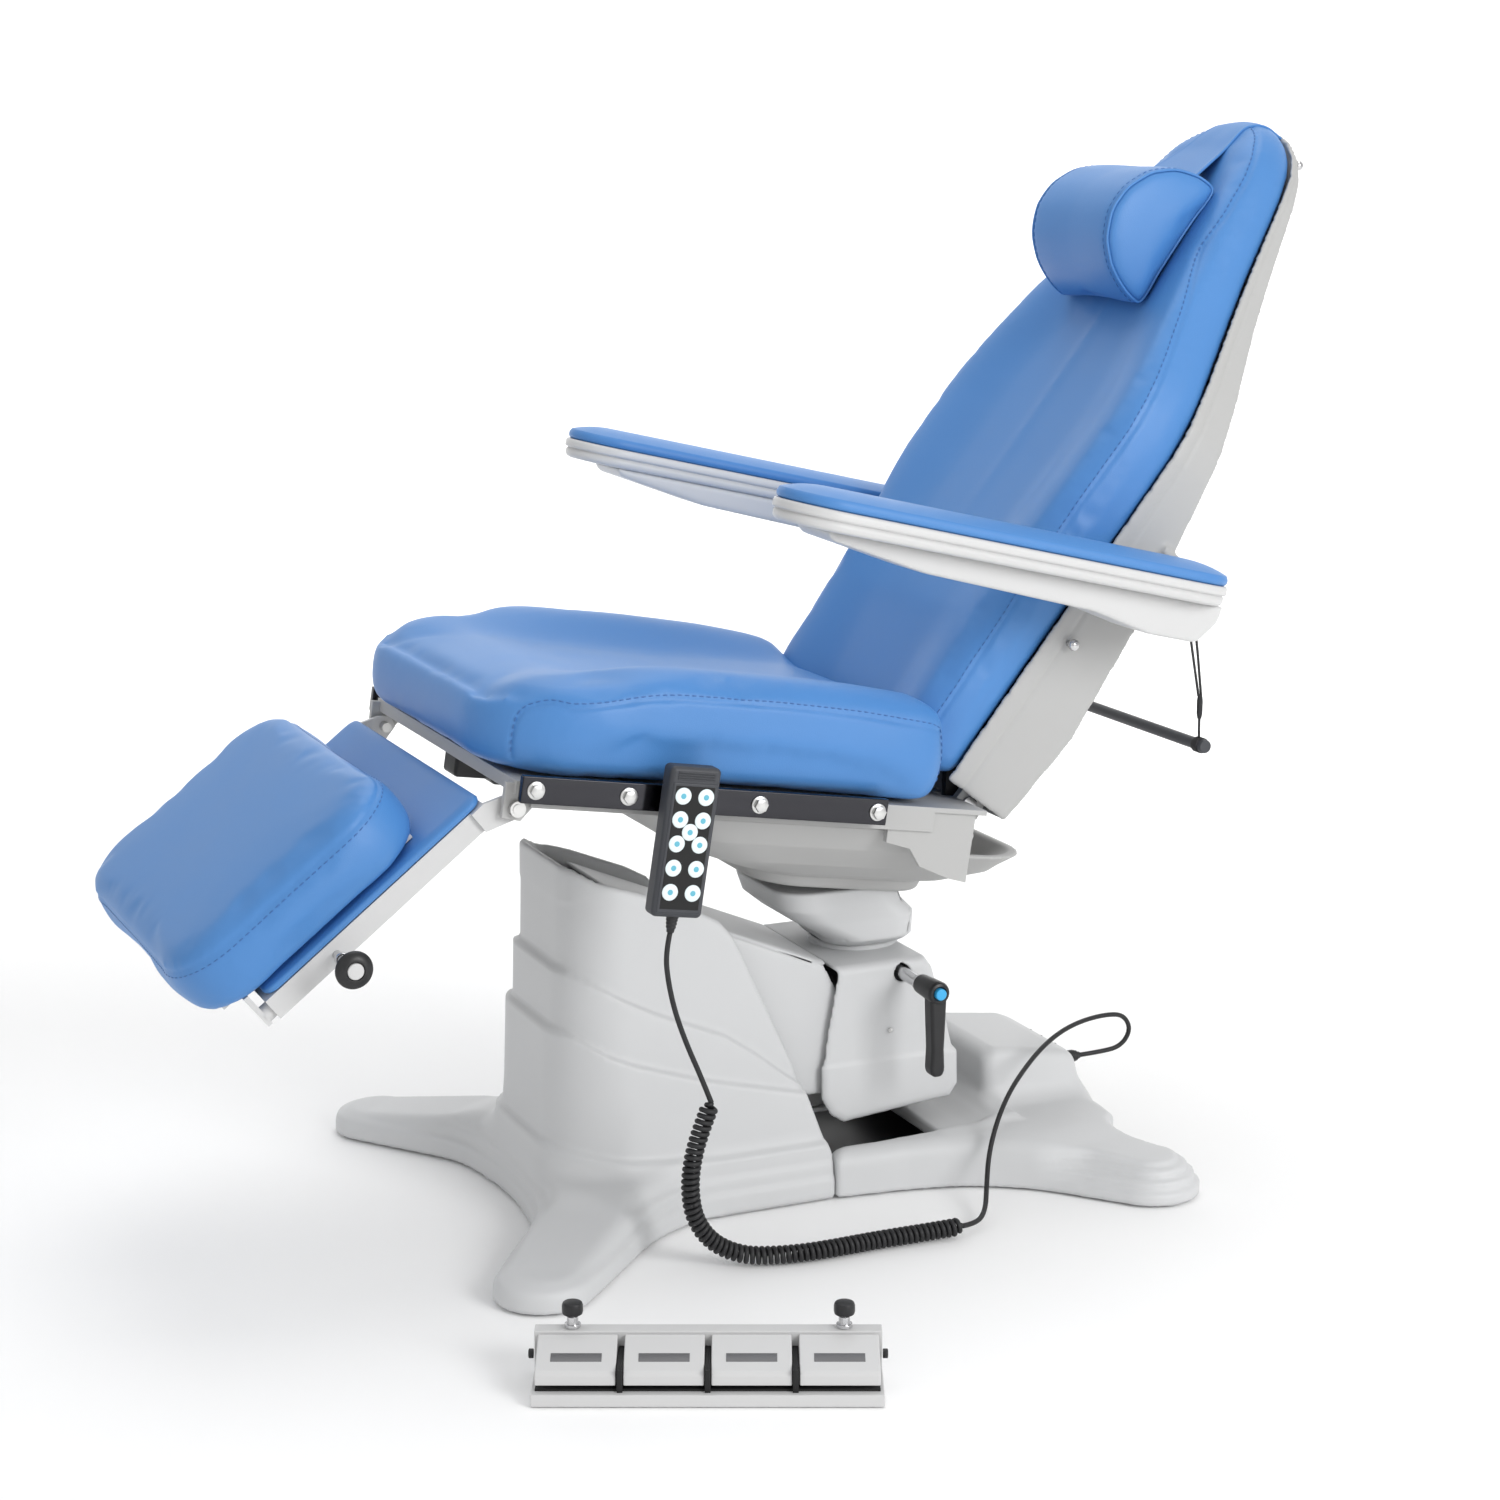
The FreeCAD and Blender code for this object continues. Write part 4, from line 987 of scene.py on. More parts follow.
def seat_line(sy):
    pts = [(-403, sy * 233, 508), (-404, sy * 234, 530), (-402, sy * 234, 552), (-396, sy * 238, 567), (-384, sy * 246, 576), (-370, sy * 253, 580)]
    for x in range(-352, 118, 12):
        pts.append((x, sy * 264.5, float(seam_z(x)) + 1))
    pts += [(120, sy * 262, 580), (124, sy * 256, 560), (125, sy * 250, 535), (125, sy * 248, 510)]
    return SEAT(pts)


for nm, sy in (("left", -1), ("right", 1)):
    L = seat_line(sy)
    L2, _ = onto(tree, resample(L, 0.004, closed=False))
    groove(o, L2, 0.0018, 0.003)
    L3 = L2 + np.array(SEAT.dir((0, 0, 1))) * 0.0055
    stitches("seat_stitch_" + nm, L3, tree, "seat")

# ------------------------------------------------------------------ backrest
OUTL = [(-60, 211), (0, 215), (120, 222), (240, 230), (330, 237), (400, 240), (440, 235), (470, 228), (500, 217), (552, 196), (600, 177), (652, 158), (710, 140), (760, 124), (795, 109), (822, 88), (840, 64), (852, 38), (858, 14)]
OS = np.array(OUTL, float)


def back_hw(s):
    return np.interp(s, OS[:, 0], OS[:, 1])


bo = [(s, w - 2) for s, w in OUTL] + [(s, -(w - 2)) for s, w in reversed(OUTL)]
bo = resample(bo, 8.0)
for _ in range(6):
    bo = bo * 0.5 + (np.roll(bo, 1, 0) + np.roll(bo, -1, 0)) * 0.25


def back_top(p, q, e):
    R = 24.0
    hw = back_hw(p)
    es = hw - np.abs(q)
    crest = np.interp(p, [-60, 0, 300, 560, 640, 720, 800, 860], [64, 70, 76, 68, 62, 60, 56, 44])
    mid = np.interp(p, [-60, 0, 120, 200, 330, 500, 620, 700, 800, 860], [38, 48, 62, 60, 54, 50, 50, 54, 55, 44])
    base = crest + (mid - crest) * smoothstep((es - 46) / 95)
    k = np.minimum(e, R)
    return base - R + np.sqrt(np.maximum(0, R * R - (R - k) ** 2))


def back_medial(p):
    return (min(max(p[0], 120), 740), 0)


o = cushion("backrest_upholstery", bo, back_medial, [(16, -11), (8, -10), (4, -6), (2.4, -1), (0, 4), (-1, 11), (-1.5, 20), (-1, lambda s, y: float(np.interp(s, [-60, 300, 700, 800, 860], [30, 32, 28, 26, 18]))), (2, lambda s, y: float(np.interp(s, [-60, 300, 700, 800, 860], [38, 42, 36, 32, 24])))], back_top,
            lambda p, h: np.stack([-h, p[:, 1], p[:, 0]], 1), BACK)
inflate(o, 0.006, 0.004, 3.0)
relax(o, lambda c: np.clip(1.15 - np.abs(c[:, 1]) / 55, 0, 1), 40)
back_o = o
finish_piece(o, "backrest", "vinyl", ["backrest_cushion"])
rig.padded(o, 0.8)
tree = bvh(o)
for nm, sy in (("left", -1), ("right", 1)):
    pts = []
    for s in list(range(-40, 800, 14)) + [812, 824, 836, 846]:
        n_ = float(np.interp(s, [-60, 300, 640, 760, 846], [50, 60, 52, 52, 48]))
        pts.append((-n_, sy * (back_hw(s) - float(np.interp(s, [-60, 400, 560, 640, 700, 760, 846], [6, 8, 22, 34, 18, 10, 18]))), s))
    L = BACK(pts)
    L2, _ = onto(tree, L)
    groove(o, L2, 0.0016, 0.0028)
    L3 = L2 - np.array(BACK.dir((1, 0, 0))) * 0.006
    stitches("backrest_stitch_" + nm, L3, tree, "backrest")


def shell_lines(o):
    """A shallow shadow line runs round the shell below its rim."""
    co, no = get_co(o), get_no(o)
    R = BACK.R
    loc = (co * 1000 - np.array((203, 0, 565))) @ R
    x, y, z = loc.T
    d = np.abs(x - np.interp(z, [-60, 60, 235, 480, 780], [26, 28, 24, 18, 9]))
    side = np.abs(no @ R[:, 0]) < 0.7
    k = -1.6 * np.exp(-(d / 2.2) ** 2) * side
    co += no * (k / 1000)[:, None]
    set_co(o, co)


# the back shell takes the darker cover grey: painted shade on the back of the backrest
soft_copy("backrest_back_shell", "backrest_shell", "backrest", "shell", 0.003, 7, shell_lines)

# ------------------------------------------------------------------ head pillow and strap
pz = [(552, 62), (554, 92), (565, 125), (588, 154), (621, 170), (655, 169), (689, 153), (713, 127), (726, 96), (730, 62)]
pl = resample([(a, b) for a, b in pz], 6.0)
for _ in range(3):
    pl = pl * 0.6 + (np.roll(pl, 1, 0) + np.roll(pl, -1, 0)) * 0.2


def pil_top(p, q, e):
    return 92 + 7 * (1 - (1 - np.minimum(e / 40, 1)) ** 2)


o = cushion("head_pillow_cover", pl, lambda p: (641, 104), [(30, -99), (12, -97), (3, -92), (0, -83), (0, -50), (1, 0), (0, 50), (0, 83), (2, 89), (5, 92)], pil_top,
            lambda p, h: np.stack([-p[:, 1], h, p[:, 0]], 1), BACK)
inflate(o, 0.005, 0.004, 3.0)
finish_piece(o, "pillow", "vinyl", ["head_pillow"])
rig.padded(o, 0.8)
pil_o = o
tree = bvh(o)
for nm, sy in (("left", -1), ("right", 1)):
    ring = [(-b, sy * 91, a) for a, b in np.vstack([pl, pl[:1]])]
    L2, _ = onto(tree, BACK(ring))
    groove(o, L2, 0.0014, 0.0026)
    pipe = tube_mesh("pillow_piping_" + nm, resample(onto(tree, BACK(ring), 0.0006)[0], 0.004, closed=False), 0.0018, 10, False)
    finish_piece(pipe, "pillow", "vinyl")
    stitches("pillow_stitch_" + nm, BACK([(-b, sy * 83, a) for a, b in np.vstack([pl, pl[:1]])]), tree, "pillow")

# strap: a flap from the pillow, drawn over the rounded head of the back and down behind it
shell_o = bpy.data.objects["backrest_back_shell"]
trees = (bvh(back_o), bvh(shell_o))
cen = np.array((-22.0, 800.0))


def drape(y, t):
    """Outermost place of back and shell on the strap's line t (mm along), in the frame of the back (mm)."""
    if t < 66:
        o_, d_ = np.array((-220.0, y, 734 + t)), np.array((1.0, 0, 0))
        taut = BACK([(-float(np.interp(t, [-20, 66], [88, 55])), y, 734 + t)])[0]
    else:
        ang = D(180 - (t - 66) * 1.02)
        u_ = np.array((math.cos(ang), 0, math.sin(ang)))
        c_ = np.array((cen[0], y, cen[1]))
        o_, d_ = c_ + u_ * 220, -u_
    best = None
    org, dr = BACK([o_])[0], BACK.dir(d_)
    for tr in trees:
        hit = tr.ray_cast(Vector(org), Vector(dr))
        if hit[0] is not None and (best is None or hit[3] < best[1]):
            best = (np.array(hit[0]), hit[3])
    if t < 66 and (best is None or np.linalg.norm(taut - org) < best[1]):
        return taut, np.array(dr)
    return (best[0] if best else None), np.array(dr)


TT = np.arange(-20, 66 + 172, 5.0)
WW = np.linspace(-1, 1, 25)
grid, out_d = [], []
for t in TT:
    hw = float(np.interp(t, [-20, 66, 110, 150, 240], [66, 44, 36, 34, 34]))
    row, rd = [], []
    for w_ in WW:
        h_, d_ = drape(w_ * hw, t)
        row.append(h_)
        rd.append(-d_)
    grid.append(row)
    out_d.append(rd)
keep_r = [i for i, r in enumerate(grid) if all(h_ is not None for h_ in r)]
G = np.array([grid[i] for i in keep_r])
OD = np.array([out_d[i] for i in keep_r])
for _ in range(3):
    G[1:-1] = G[1:-1] * 0.5 + (G[:-2] + G[2:]) * 0.25
lift_t = np.where(np.abs(WW) > 0.93, 0.0038, 0.0024)
top_g = G + OD * lift_t[None, :, None]
bot_g = G - OD * 0.0008
n_, m_ = G.shape[:2]
sv = np.vstack([top_g.reshape(-1, 3), bot_g.reshape(-1, 3)])
N_ = n_ * m_
sf = []
for i in range(n_ - 1):
    for k in range(m_ - 1):
        q = i * m_ + k
        sf.append((q, q + 1, q + m_ + 1, q + m_))
        sf.append((N_ + q, N_ + q + m_, N_ + q + m_ + 1, N_ + q + 1))
    for k in (0, m_ - 1):
        q = i * m_ + k
        sf.append((q, q + m_, N_ + q + m_, N_ + q))
for i in (0, n_ - 1):
    for k in range(m_ - 1):
        q = i * m_ + k
        sf.append((q, N_ + q, N_ + q + 1, q + 1))
o = new_obj("pillow_strap_band", mesh("pillow_strap_band", sv, sf))
fix_normals(o)
d = o.modifiers.new("s", "SUBSURF")
d.levels = d.render_levels = 1
apply_mods(o)
finish_piece(o, "backrest", "vinyl", ["pillow_strap"])

# ------------------------------------------------------------------ armrests
for nm, sy in (("left", -1), ("right", 1)):
    yc = sy * 315
    body = "armrest_" + nm
    plan = [(x, y) for x, y in (arc_pts(-58, yc, 61, 90, 270, 24) + arc_pts(396, yc, 61, -90, 90, 24))]
    tray = cushion("armrest_tray_look_" + nm, plan, lambda p: (min(max(p[0], -58), 396), yc),
                   [(14, 732), (8, 732.2), (4, 734), (2.4, 737), (2.2, 743), (3.6, 743.6), (3.6, 745), (0.4, 745.6), (0, 748), (0, 753), (1.4, 755.4), (4.4, 756), (6.2, 754.8), (6.8, 751)],
                   lambda p, q, e: np.full(len(p), 751.0), lambda p, h: np.stack([p[:, 0], p[:, 1], h], 1), ARM)
    finish_piece(tray, body, "white", ["armrest_tray_" + nm])
    pad = cushion("armrest_pad_look_" + nm, plan, lambda p: (min(max(p[0], -58), 396), yc),
                  [(9, 751.4), (8, 755.5), (3.2, 756.6), (1.6, 760), (1.6, 764), (4, 768)],
                  lambda p, q, e: 768 + 9.5 * (1 - (1 - np.minimum(e / 52, 1)) ** 2.2), lambda p, h: np.stack([p[:, 0], p[:, 1], h], 1), ARM)
    d = pad.modifiers.new("d", "SUBSURF")
    d.levels = d.render_levels = 1
    apply_mods(pad)
    finish_piece(pad, body, "vinyl", ["armrest_pad_" + nm])
    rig.padded(pad, 0.8)
    soft_copy("armrest_fairing_" + nm, "armrest_arm_" + nm, body, "white", 0.003, 8)

# ------------------------------------------------------------------ leg rest
bevel_copy("leg_rest_frame", "leg_frame", "leg_rest", "white", 0.0015, 3)
o = cushion("leg_rest_thin_pad", round_rect(-330, -20, -231, 231, 16), lambda p: (min(max(p[0], -180), -170), 0),
            [(6, 24.4), (2, 26), (0.5, 29), (2, 32.5)], lambda p, q, e: 32.5 + 2.8 * (1 - (1 - np.minimum(e / 12, 1)) ** 2),
            lambda p, h: np.stack([p[:, 0], p[:, 1], h], 1), LEG)
finish_piece(o, "leg_rest", "vinyl", ["leg_pad"])
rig.padded(o, 0.9)


def leg_top(p, q, e):
    R = 19.0
    k = np.minimum(e, R)
    return 103 + 14 * (np.sqrt(np.maximum(0, R * R - (R - k) ** 2)) / R) + 4 * (1 - (1 - np.minimum(e / 130, 1)) ** 2)


o = cushion("leg_rest_cushion", round_rect(-394, -82, -240, 240, 74), lambda p: (min(max(p[0], -240), -234), 0),
            [(30, 36.8), (15, 37.2), (5, 41), (0, 50), (-2, 66), (-1, 86), (2, 103)], leg_top, lambda p, h: np.stack([p[:, 0], p[:, 1], h], 1), LEG)
inflate(o, 0.006, 0.004, 3.0)
finish_piece(o, "leg_extension", "vinyl", ["leg_cushion"])
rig.padded(o, 0.8)
rr = resample(round_rect(-391, -85, -237, 237, 72), 5.0)
ring = [(x, y, 105) for x, y in np.vstack([rr, rr[:1]])]
tree = bvh(o)
L2, _ = onto(tree, LEG(ring))
groove(o, L2, 0.0015, 0.0027)
stitches("leg_cushion_stitch", L2 - np.array(LEG.dir((0, 0, 1))) * 0.0065, tree, "leg_extension")

# knob: black ring with a pale centre, on a steel stem
lathe("leg_knob_ring", [(0, 9), (1, 14), (4, 19.4), (8, 21), (12, 19.4), (15, 14.5), (15.4, 10.2), (13.4, 9.6), (13, 0.01)], LEG, (-246, -282, 8), (0, -1, 0), "leg_knob_body", "black", 64, ["leg_knob"])
lathe("leg_knob_centre", [(0, 0.01), (0, 9.2), (2.2, 9.0), (3.0, 7.6), (3.2, 0.01)], LEG, (-246, -295, 8), (0, -1, 0), "leg_knob_body", "white", 40)
lathe("leg_knob_stem", [(0, 5), (20, 5), (20, 8), (26, 8), (26, 5), (60, 5)], LEG, (-246, -224, 8), (0, -1, 0), "leg_knob_body", "steel", 32)

# ------------------------------------------------------------------ rail bolts
def merge(name, objs, body, mat, replaces=()):
    """Small like pieces of one body kept as one piece."""
    v, f = [], []
    for q in objs:
        b = len(v)
        v += [tuple(x) for x in get_co(q)]
        f += [tuple(b + i for i in p.vertices) for p in q.data.polygons]
        me = q.data
        bpy.data.objects.remove(q)
        bpy.data.meshes.remove(me)
    o = new_obj(name, mesh(name, v, f))
    return finish_piece(o, body, mat, replaces)


def hexagon(r, cx, cz):
    return [(cx + r * math.cos(D(60 * k + 12)), cz + r * math.sin(D(60 * k + 12))) for k in range(6)]


heads, wash, space = [], [], []
for sy in (-1, 1):
    for i, x in enumerate((-382, -274, -116, 32)):
        a0, a1 = sorted((sy * 275.6, sy * 281.5))
        heads.append(prism("bh%d%d" % (sy, i), hexagon(8.2, x, 486), a0, a1, SEAT, "seat", "zinc", "xz", 0.7, 2))
        wash.append(lathe("bw%d%d" % (sy, i), [(0, 5), (0, 10.2), (1.4, 10.2), (1.7, 9.6), (1.7, 5)], SEAT, (x, sy * 274, 486), (0, sy, 0), "seat", "zinc", 32))
        space.append(lathe("bs%d%d" % (sy, i), [(0, 7.5), (13.8, 7.5)], SEAT, (x, sy * 250.1, 486), (0, sy, 0), "seat", "zinc", 24))
merge("rail_bolt_set", heads + wash + space, "seat", "zinc", ["rail_bolts"])

# ------------------------------------------------------------------ handset
hx = -212.5
rbox("handset_body", (hx - 30, -309, 361), (hx + 30, -283, 529), SEAT, "seat", "charcoal", 6, 5, ["handset_shell"])
rbox("handset_bezel", (hx - 26.5, -310.0, 366), (hx + 26.5, -305, 512), SEAT, "seat", "charcoal", 2.2, 4)
rbox("handset_foil", (hx - 23, -310.5, 371), (hx + 23, -308, 512 - 4), SEAT, "seat", "dark", 0.4, 2, ["handset_keypad"])
rib = [rbox("hr%d" % k, (hx - 22, -310.2, 514.5 + 2.6 * k), (hx + 22, -307, 515.9 + 2.6 * k), SEAT, "seat", "charcoal", 0.5, 2) for k in range(4)]
merge("handset_ribs", rib, "seat", "charcoal")
prism("handset_hook", [(-286, 500.8), (-286, 505.4), (-257.5, 505.4), (-256, 503.5), (-256, 481), (-259.5, 481), (-259.5, 500.8)], hx - 14, hx + 14, SEAT, "seat", "charcoal", "yz", 0.8, 2)
lathe("handset_gland", [(0, 7.2), (3, 7.2), (4, 6.2), (6, 6.8), (8, 5.6), (10, 6.4), (12, 5.1), (14, 5.8), (16, 4.6), (20, 4.2)], SEAT, (hx, -296, 362), (0, 0, -1), "seat", "rubber", 32)
keys, dots = [], []
for k, (kx, kz) in enumerate([(-13.5, 497), (13.5, 497), (-13.5, 471), (13.5, 471), (0, 457.5), (-13.5, 444), (13.5, 444), (-13.5, 417), (13.5, 417), (-13.5, 390), (13.5, 390)]):
    keys.append(lathe("k%d" % k, [(0, 9.4), (0.5, 9.4), (0.9, 8.8), (1.1, 6.5), (1.15, 0.01)], SEAT, (hx + kx, -310.3, kz), (0, -1, 0), "seat", "key", 40))
    dots.append(lathe("d%d" % k, [(0, 3.2), (0.18, 3.1), (0.2, 0.01)], SEAT, (hx + kx, -311.38, kz), (0, -1, 0), "seat", "glyph", 24))
merge("handset_keys", keys, "seat", "key")
merge("handset_key_marks", dots, "seat", "glyph")

# ------------------------------------------------------------------ clamp lever and collar
lx, lz = 163, 256
lathe("clamp_stud", [(0, 8), (112, 8), (114, 9.6), (119, 9.6), (120, 8.2), (124, 8.2)], WORLD, (lx, -40, lz), (0, -1, 0), "lever", "steel", 40, ["lever_stud"])
lathe("clamp_hub", [(0, 10), (2, 12), (24, 13.4), (44, 14.2), (48, 12.8), (49.4, 9.4), (48, 7.8), (44, 7.7)], WORLD, (lx, -160.5, lz), (0, -1, 0), "lever", "black", 48, ["clamp_lever"])
hv = [(lx - 11, lz - 2), (lx - 10, lz - 30), (lx - 8.2, lz - 70), (lx - 9.4, lz - 96), (lx - 6, lz - 104), (lx + 6, lz - 104), (lx + 9.4, lz - 96), (lx + 8.2, lz - 70), (lx + 10, lz - 30), (lx + 11, lz - 2)]
prism("clamp_handle", hv, -208, -187, WORLD, "lever", "black", "xz", 6.5, 6)
lathe("clamp_button", [(0, 7), (9, 7), (10, 6.2), (10.3, 0.01)], WORLD, (lx, -203.4, lz), (0, -1, 0), "lever_button_body", "blue", 40, ["lever_button"])
lathe("head_cover_screw", [(0, 3.2), (1.2, 3.2), (1.8, 2.2), (1.9, 0.01)], WORLD, (146, -113.6, 186), (0, -1, 0), "lift_head_body", "zinc", 24)

# ------------------------------------------------------------------ sockets, plug, paper bar
pegs = [lathe("sp%d" % i, [(0, 9), (2, 9), (2.4, 7.4), (9, 7), (9.6, 6), (9.8, 0.01)], WORLD, (427, y, 95), (1, 0, 0), "base", "black", 32) for i, y in enumerate((-14, 22, 50))]
merge("socket_blanks", pegs, "base", "black")
rbox("socket_plate", (418.6, -60, 84), (428, 60, 106), WORLD, "base", "black", 1.2, 3, ["socket_panel"])
lathe("plug_look", [(0, 8), (12, 8), (13, 7), (14, 7.6), (15, 6.2), (16.5, 6.8), (18, 5.2), (22, 4)], WORLD, (428, -51, 95), (1, 0, 0), "base", "rubber", 40, ["handset_plug"])
lathe("paper_rod", [(-258, 0.01), (-258, 7.6), (-256, 8.2), (-248, 8.2), (-248, 7), (248, 7), (248, 8.2), (256, 8.2), (258, 7.6), (258, 0.01)], WORLD, (490, 0, 536), (0, 1, 0), "paper_holder", "charcoal", 40, ["paper_bar"])
el = []
for sy in (-1, 1):
    y = sy * 245
    a = [(486, y, 596), (476, y, 648), (465, y, 706), (455.5, y, 748), (454.4, y, 756), (457, y, 760.6), (461, y, 761.6), (465, y, 758.6), (466.4, y, 752), (474, y, 706), (483, y, 648), (489.6, y, 596)]
    el.append(tube_mesh("e1%d" % sy, resample(np.array(a) / 1000, 0.006, closed=False), 0.0016, 10))
    el.append(tube_mesh("e2%d" % sy, np.array([(488.2, y, 572), (488.2, y, 560), (488.6, y, 543)]) / 1000, 0.0016, 10))
    el.append(lathe("e3%d" % sy, [(-6, 0.01), (-6, 7.05), (-6, 9.4), (6, 9.4), (6, 7.05)], WORLD, (490, y, 536), (0, 1, 0), "paper_holder", "elastic", 32))
    el.append(lathe("e4%d" % sy, [(0, 0.01), (0, 2.2), (6, 3.4), (22, 3.6), (30, 2.4), (30, 0.01)], WORLD, (488.2, y, 568), (0, 0, 1), "paper_holder", "elastic", 20))
merge("paper_elastics", el, "paper_holder", "elastic", ["paper_cords"])

# ------------------------------------------------------------------ foot control
cl, cd = 179, 46
prism("foot_tray", [(-cl, -cd), (cl, -cd), (cl, cd), (-cl, cd)], 1, 14, FOOT, "foot_control", "white", "xy", 1.2, 2, ["foot_base"])
prism("foot_ridge", [(22.2, 12), (cd, 12), (cd, 50), (40, 54), (22.2, 54)], -cl, cl, FOOT, "foot_control", "white", "yz", 1.0, 2)
# dark boxes in the gaps between the pedals and a dark sheet under them: painted shade
gap_shade_boxes = [rbox("fd%d" % k, (x - 3, -40, 10), (x + 3, 24, 38), FOOT, "foot_control", "dark", 0.6, 2) for k, x in enumerate((-89, 0, 89))]
gap_shade_boxes += [rbox("fe%d" % k, (-175, -36, 13.8), (175, 20, 16), FOOT, "foot_control", "dark", 0.4, 2) for k in (0,)]
merge("foot_gap_painted_shade", gap_shade_boxes, "foot_control", "dark")
knob = [lathe("fk%d" % s, [(0, 5), (5, 5), (5.4, 3.4), (5.5, 0.01)], FOOT, (s * cl, 12, 34), (s, 0, 0), "foot_control", "black", 24) for s in (-1, 1)]
merge("foot_side_buttons", knob, "foot_control", "black")
for i, x in enumerate((-134, -44.5, 44.5, 134)):
    b = "pedal_%d" % (i + 1)
    prism("foot_pedal_cap_%d" % (i + 1), [(-38, 20.5), (20.8, 33.5), (20.8, 51.6), (-34, 34.6), (-37.4, 31)], x - 41, x + 41, FOOT, b, "white", "yz", 1.4, 3, ["foot_pedal_%d" % (i + 1)])
    sl = (51.6 - 34.6) / 54.8
    w = [(-20, 34.6 + sl * 14 + 0.35), (-8, 34.6 + sl * 26 + 0.35), (-8, 34.6 + sl * 26 - 1.5), (-20, 34.6 + sl * 14 - 1.5)]
    prism("foot_pedal_window_%d" % (i + 1), w, x - 26, x + 26, FOOT, b, "window", "yz", 0)
for i, x in enumerate((-140, 140)):
    b = "plunger_%d" % (i + 1)
    lathe("foot_plunger_stem_%d" % (i + 1), [(0, 5), (10.2, 5), (10.2, 8.5), (14, 8.5), (14, 6), (22, 6), (22, 5), (25, 5)], FOOT, (x, 33, 44.2), (0, 0, 1), b, "steel", 32)
    lathe("foot_plunger_knob_%d" % (i + 1), [(0, 8), (1, 10.4), (4, 11), (10, 11), (13, 10), (14, 7.6), (14.2, 0.01)], FOOT, (x, 33, 68), (0, 0, 1), b, "black", 40, ["foot_plunger_%d" % (i + 1)])

# ------------------------------------------------------------------ shell screws
sc_p = []
for sy in (-1, 1):
    sc_p.append(lathe("s1%d" % sy, [(0, 3.6), (10, 3.6), (11, 6.2), (14, 7), (18, 6.4), (20, 4), (20.4, 0.01)], BACK, (30, sy * 221, 152), (0, sy, 0), "backrest", "steel", 32))
    sc_p.append(lathe("s2%d" % sy, [(0, 3.6), (9, 3.6), (10, 5.6), (13, 6.2), (16.5, 5.6), (18.4, 3.4), (18.6, 0.01)], BACK, (10, sy * 70, 826), (1, 0, 0), "backrest", "steel", 32))
merge("shell_ball_screws", sc_p, "backrest", "steel", ["shell_screws"])

# ------------------------------------------------------------------ cords (control points as in the CAD route, metres)
g0 = SEAT([(hx, -296, 342)])[0]
LEAD_A = [tuple(g0 * 1000), (-224, -296, 376), (-222, -296.5, 346), (-214, -297, 308), (-200, -297, 268), (-183, -296.5, 229), (-170, -296, 196)]
COIL = [(-170, -296, 196), (-182, -296, 168), (-193, -296, 134), (-197, -296, 97), (-191, -297, 60), (-171, -301, 31), (-138, -308, 14), (-104, -319, 12.2), (-66, -326, 12), (-26, -327, 12.2), (14, -325, 12), (54, -326, 12.2), (96, -328, 12.6), (132, -331, 14)]
LEAD_B = [(132, -331, 14), (154, -326, 12), (180, -298, 14), (202, -260, 26), (220, -231, 54), (242, -210, 86), (274, -182, 110), (312, -152, 126), (352, -122, 138), (394, -97, 147), (437, -77, 150), (480, -64, 149), (510, -57.5, 143), (523, -55.5, 121), (510, -53, 99), (480, -51.2, 95.2), (450, -51, 95)]


def nurbs(name, pts, bevel=0.0):
    cu = bpy.data.curves.new(name, "CURVE")
    cu.dimensions = "3D"
    sp = cu.splines.new("NURBS")
    sp.points.add(len(pts) - 1)
    for q, p in zip(sp.points, pts):
        q.co = (p[0] / 1000, p[1] / 1000, p[2] / 1000, 1)
    sp.order_u = 3
    sp.use_endpoint_u = True
    sp.resolution_u = 16
    cu.bevel_depth = bevel
    cu.bevel_resolution = 4
    cu.use_fill_caps = True
    o = bpy.data.objects.new(name, cu)
    bpy.context.scene.collection.objects.link(o)
    return o


def nurbs_line(pts):
    o = nurbs("tmp_line", pts)
    bpy.context.view_layer.update()
    dg = bpy.context.evaluated_depsgraph_get()
    me = bpy.data.meshes.new_from_object(o.evaluated_get(dg))
    P = np.array([v.co[:] for v in me.vertices])
    bpy.data.meshes.remove(me)
    cu = o.data
    bpy.data.objects.remove(o)
    bpy.data.curves.remove(cu)
    return P


def length(P):
    return float(np.linalg.norm(np.diff(P, axis=0), axis=1).sum())


# rear lead, plain spline on the base
rl = nurbs("handset_cord_rear", LEAD_B, 0.003)
rl.data.materials.append(M["rubber"])
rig.ride(rl, "base")
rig.slot(rl, "black_rubber")
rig.replaces(rl, "cord_lead_rear")
PB = nurbs_line(LEAD_B)
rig.cord(rl, exit=tuple(PB[0]), length=length(PB), diameter=0.006, far_end="plug", lay="loose", with_pieces=[bpy.data.objects["plug_look"]])

# front lead: a mesh tube that bends between the swivel and the seat
PA = resample(nurbs_line(LEAD_A), 0.003, closed=False)
fa = tube_mesh("handset_cord_front", PA, 0.003, 14)
fa.data.materials.append(M["rubber"])
for p in fa.data.polygons:
    p.use_smooth = True
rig.slot(fa, "black_rubber")
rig.replaces(fa, "cord_lead_front")
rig.blend(fa, "swivel", "seat", start=tuple(PA[-1]), end=tuple(PA[0]))
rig.cord(fa, exit=tuple(PA[0]), length=length(PA), diameter=0.006, far_end="object", lay="hanging", path=PA)

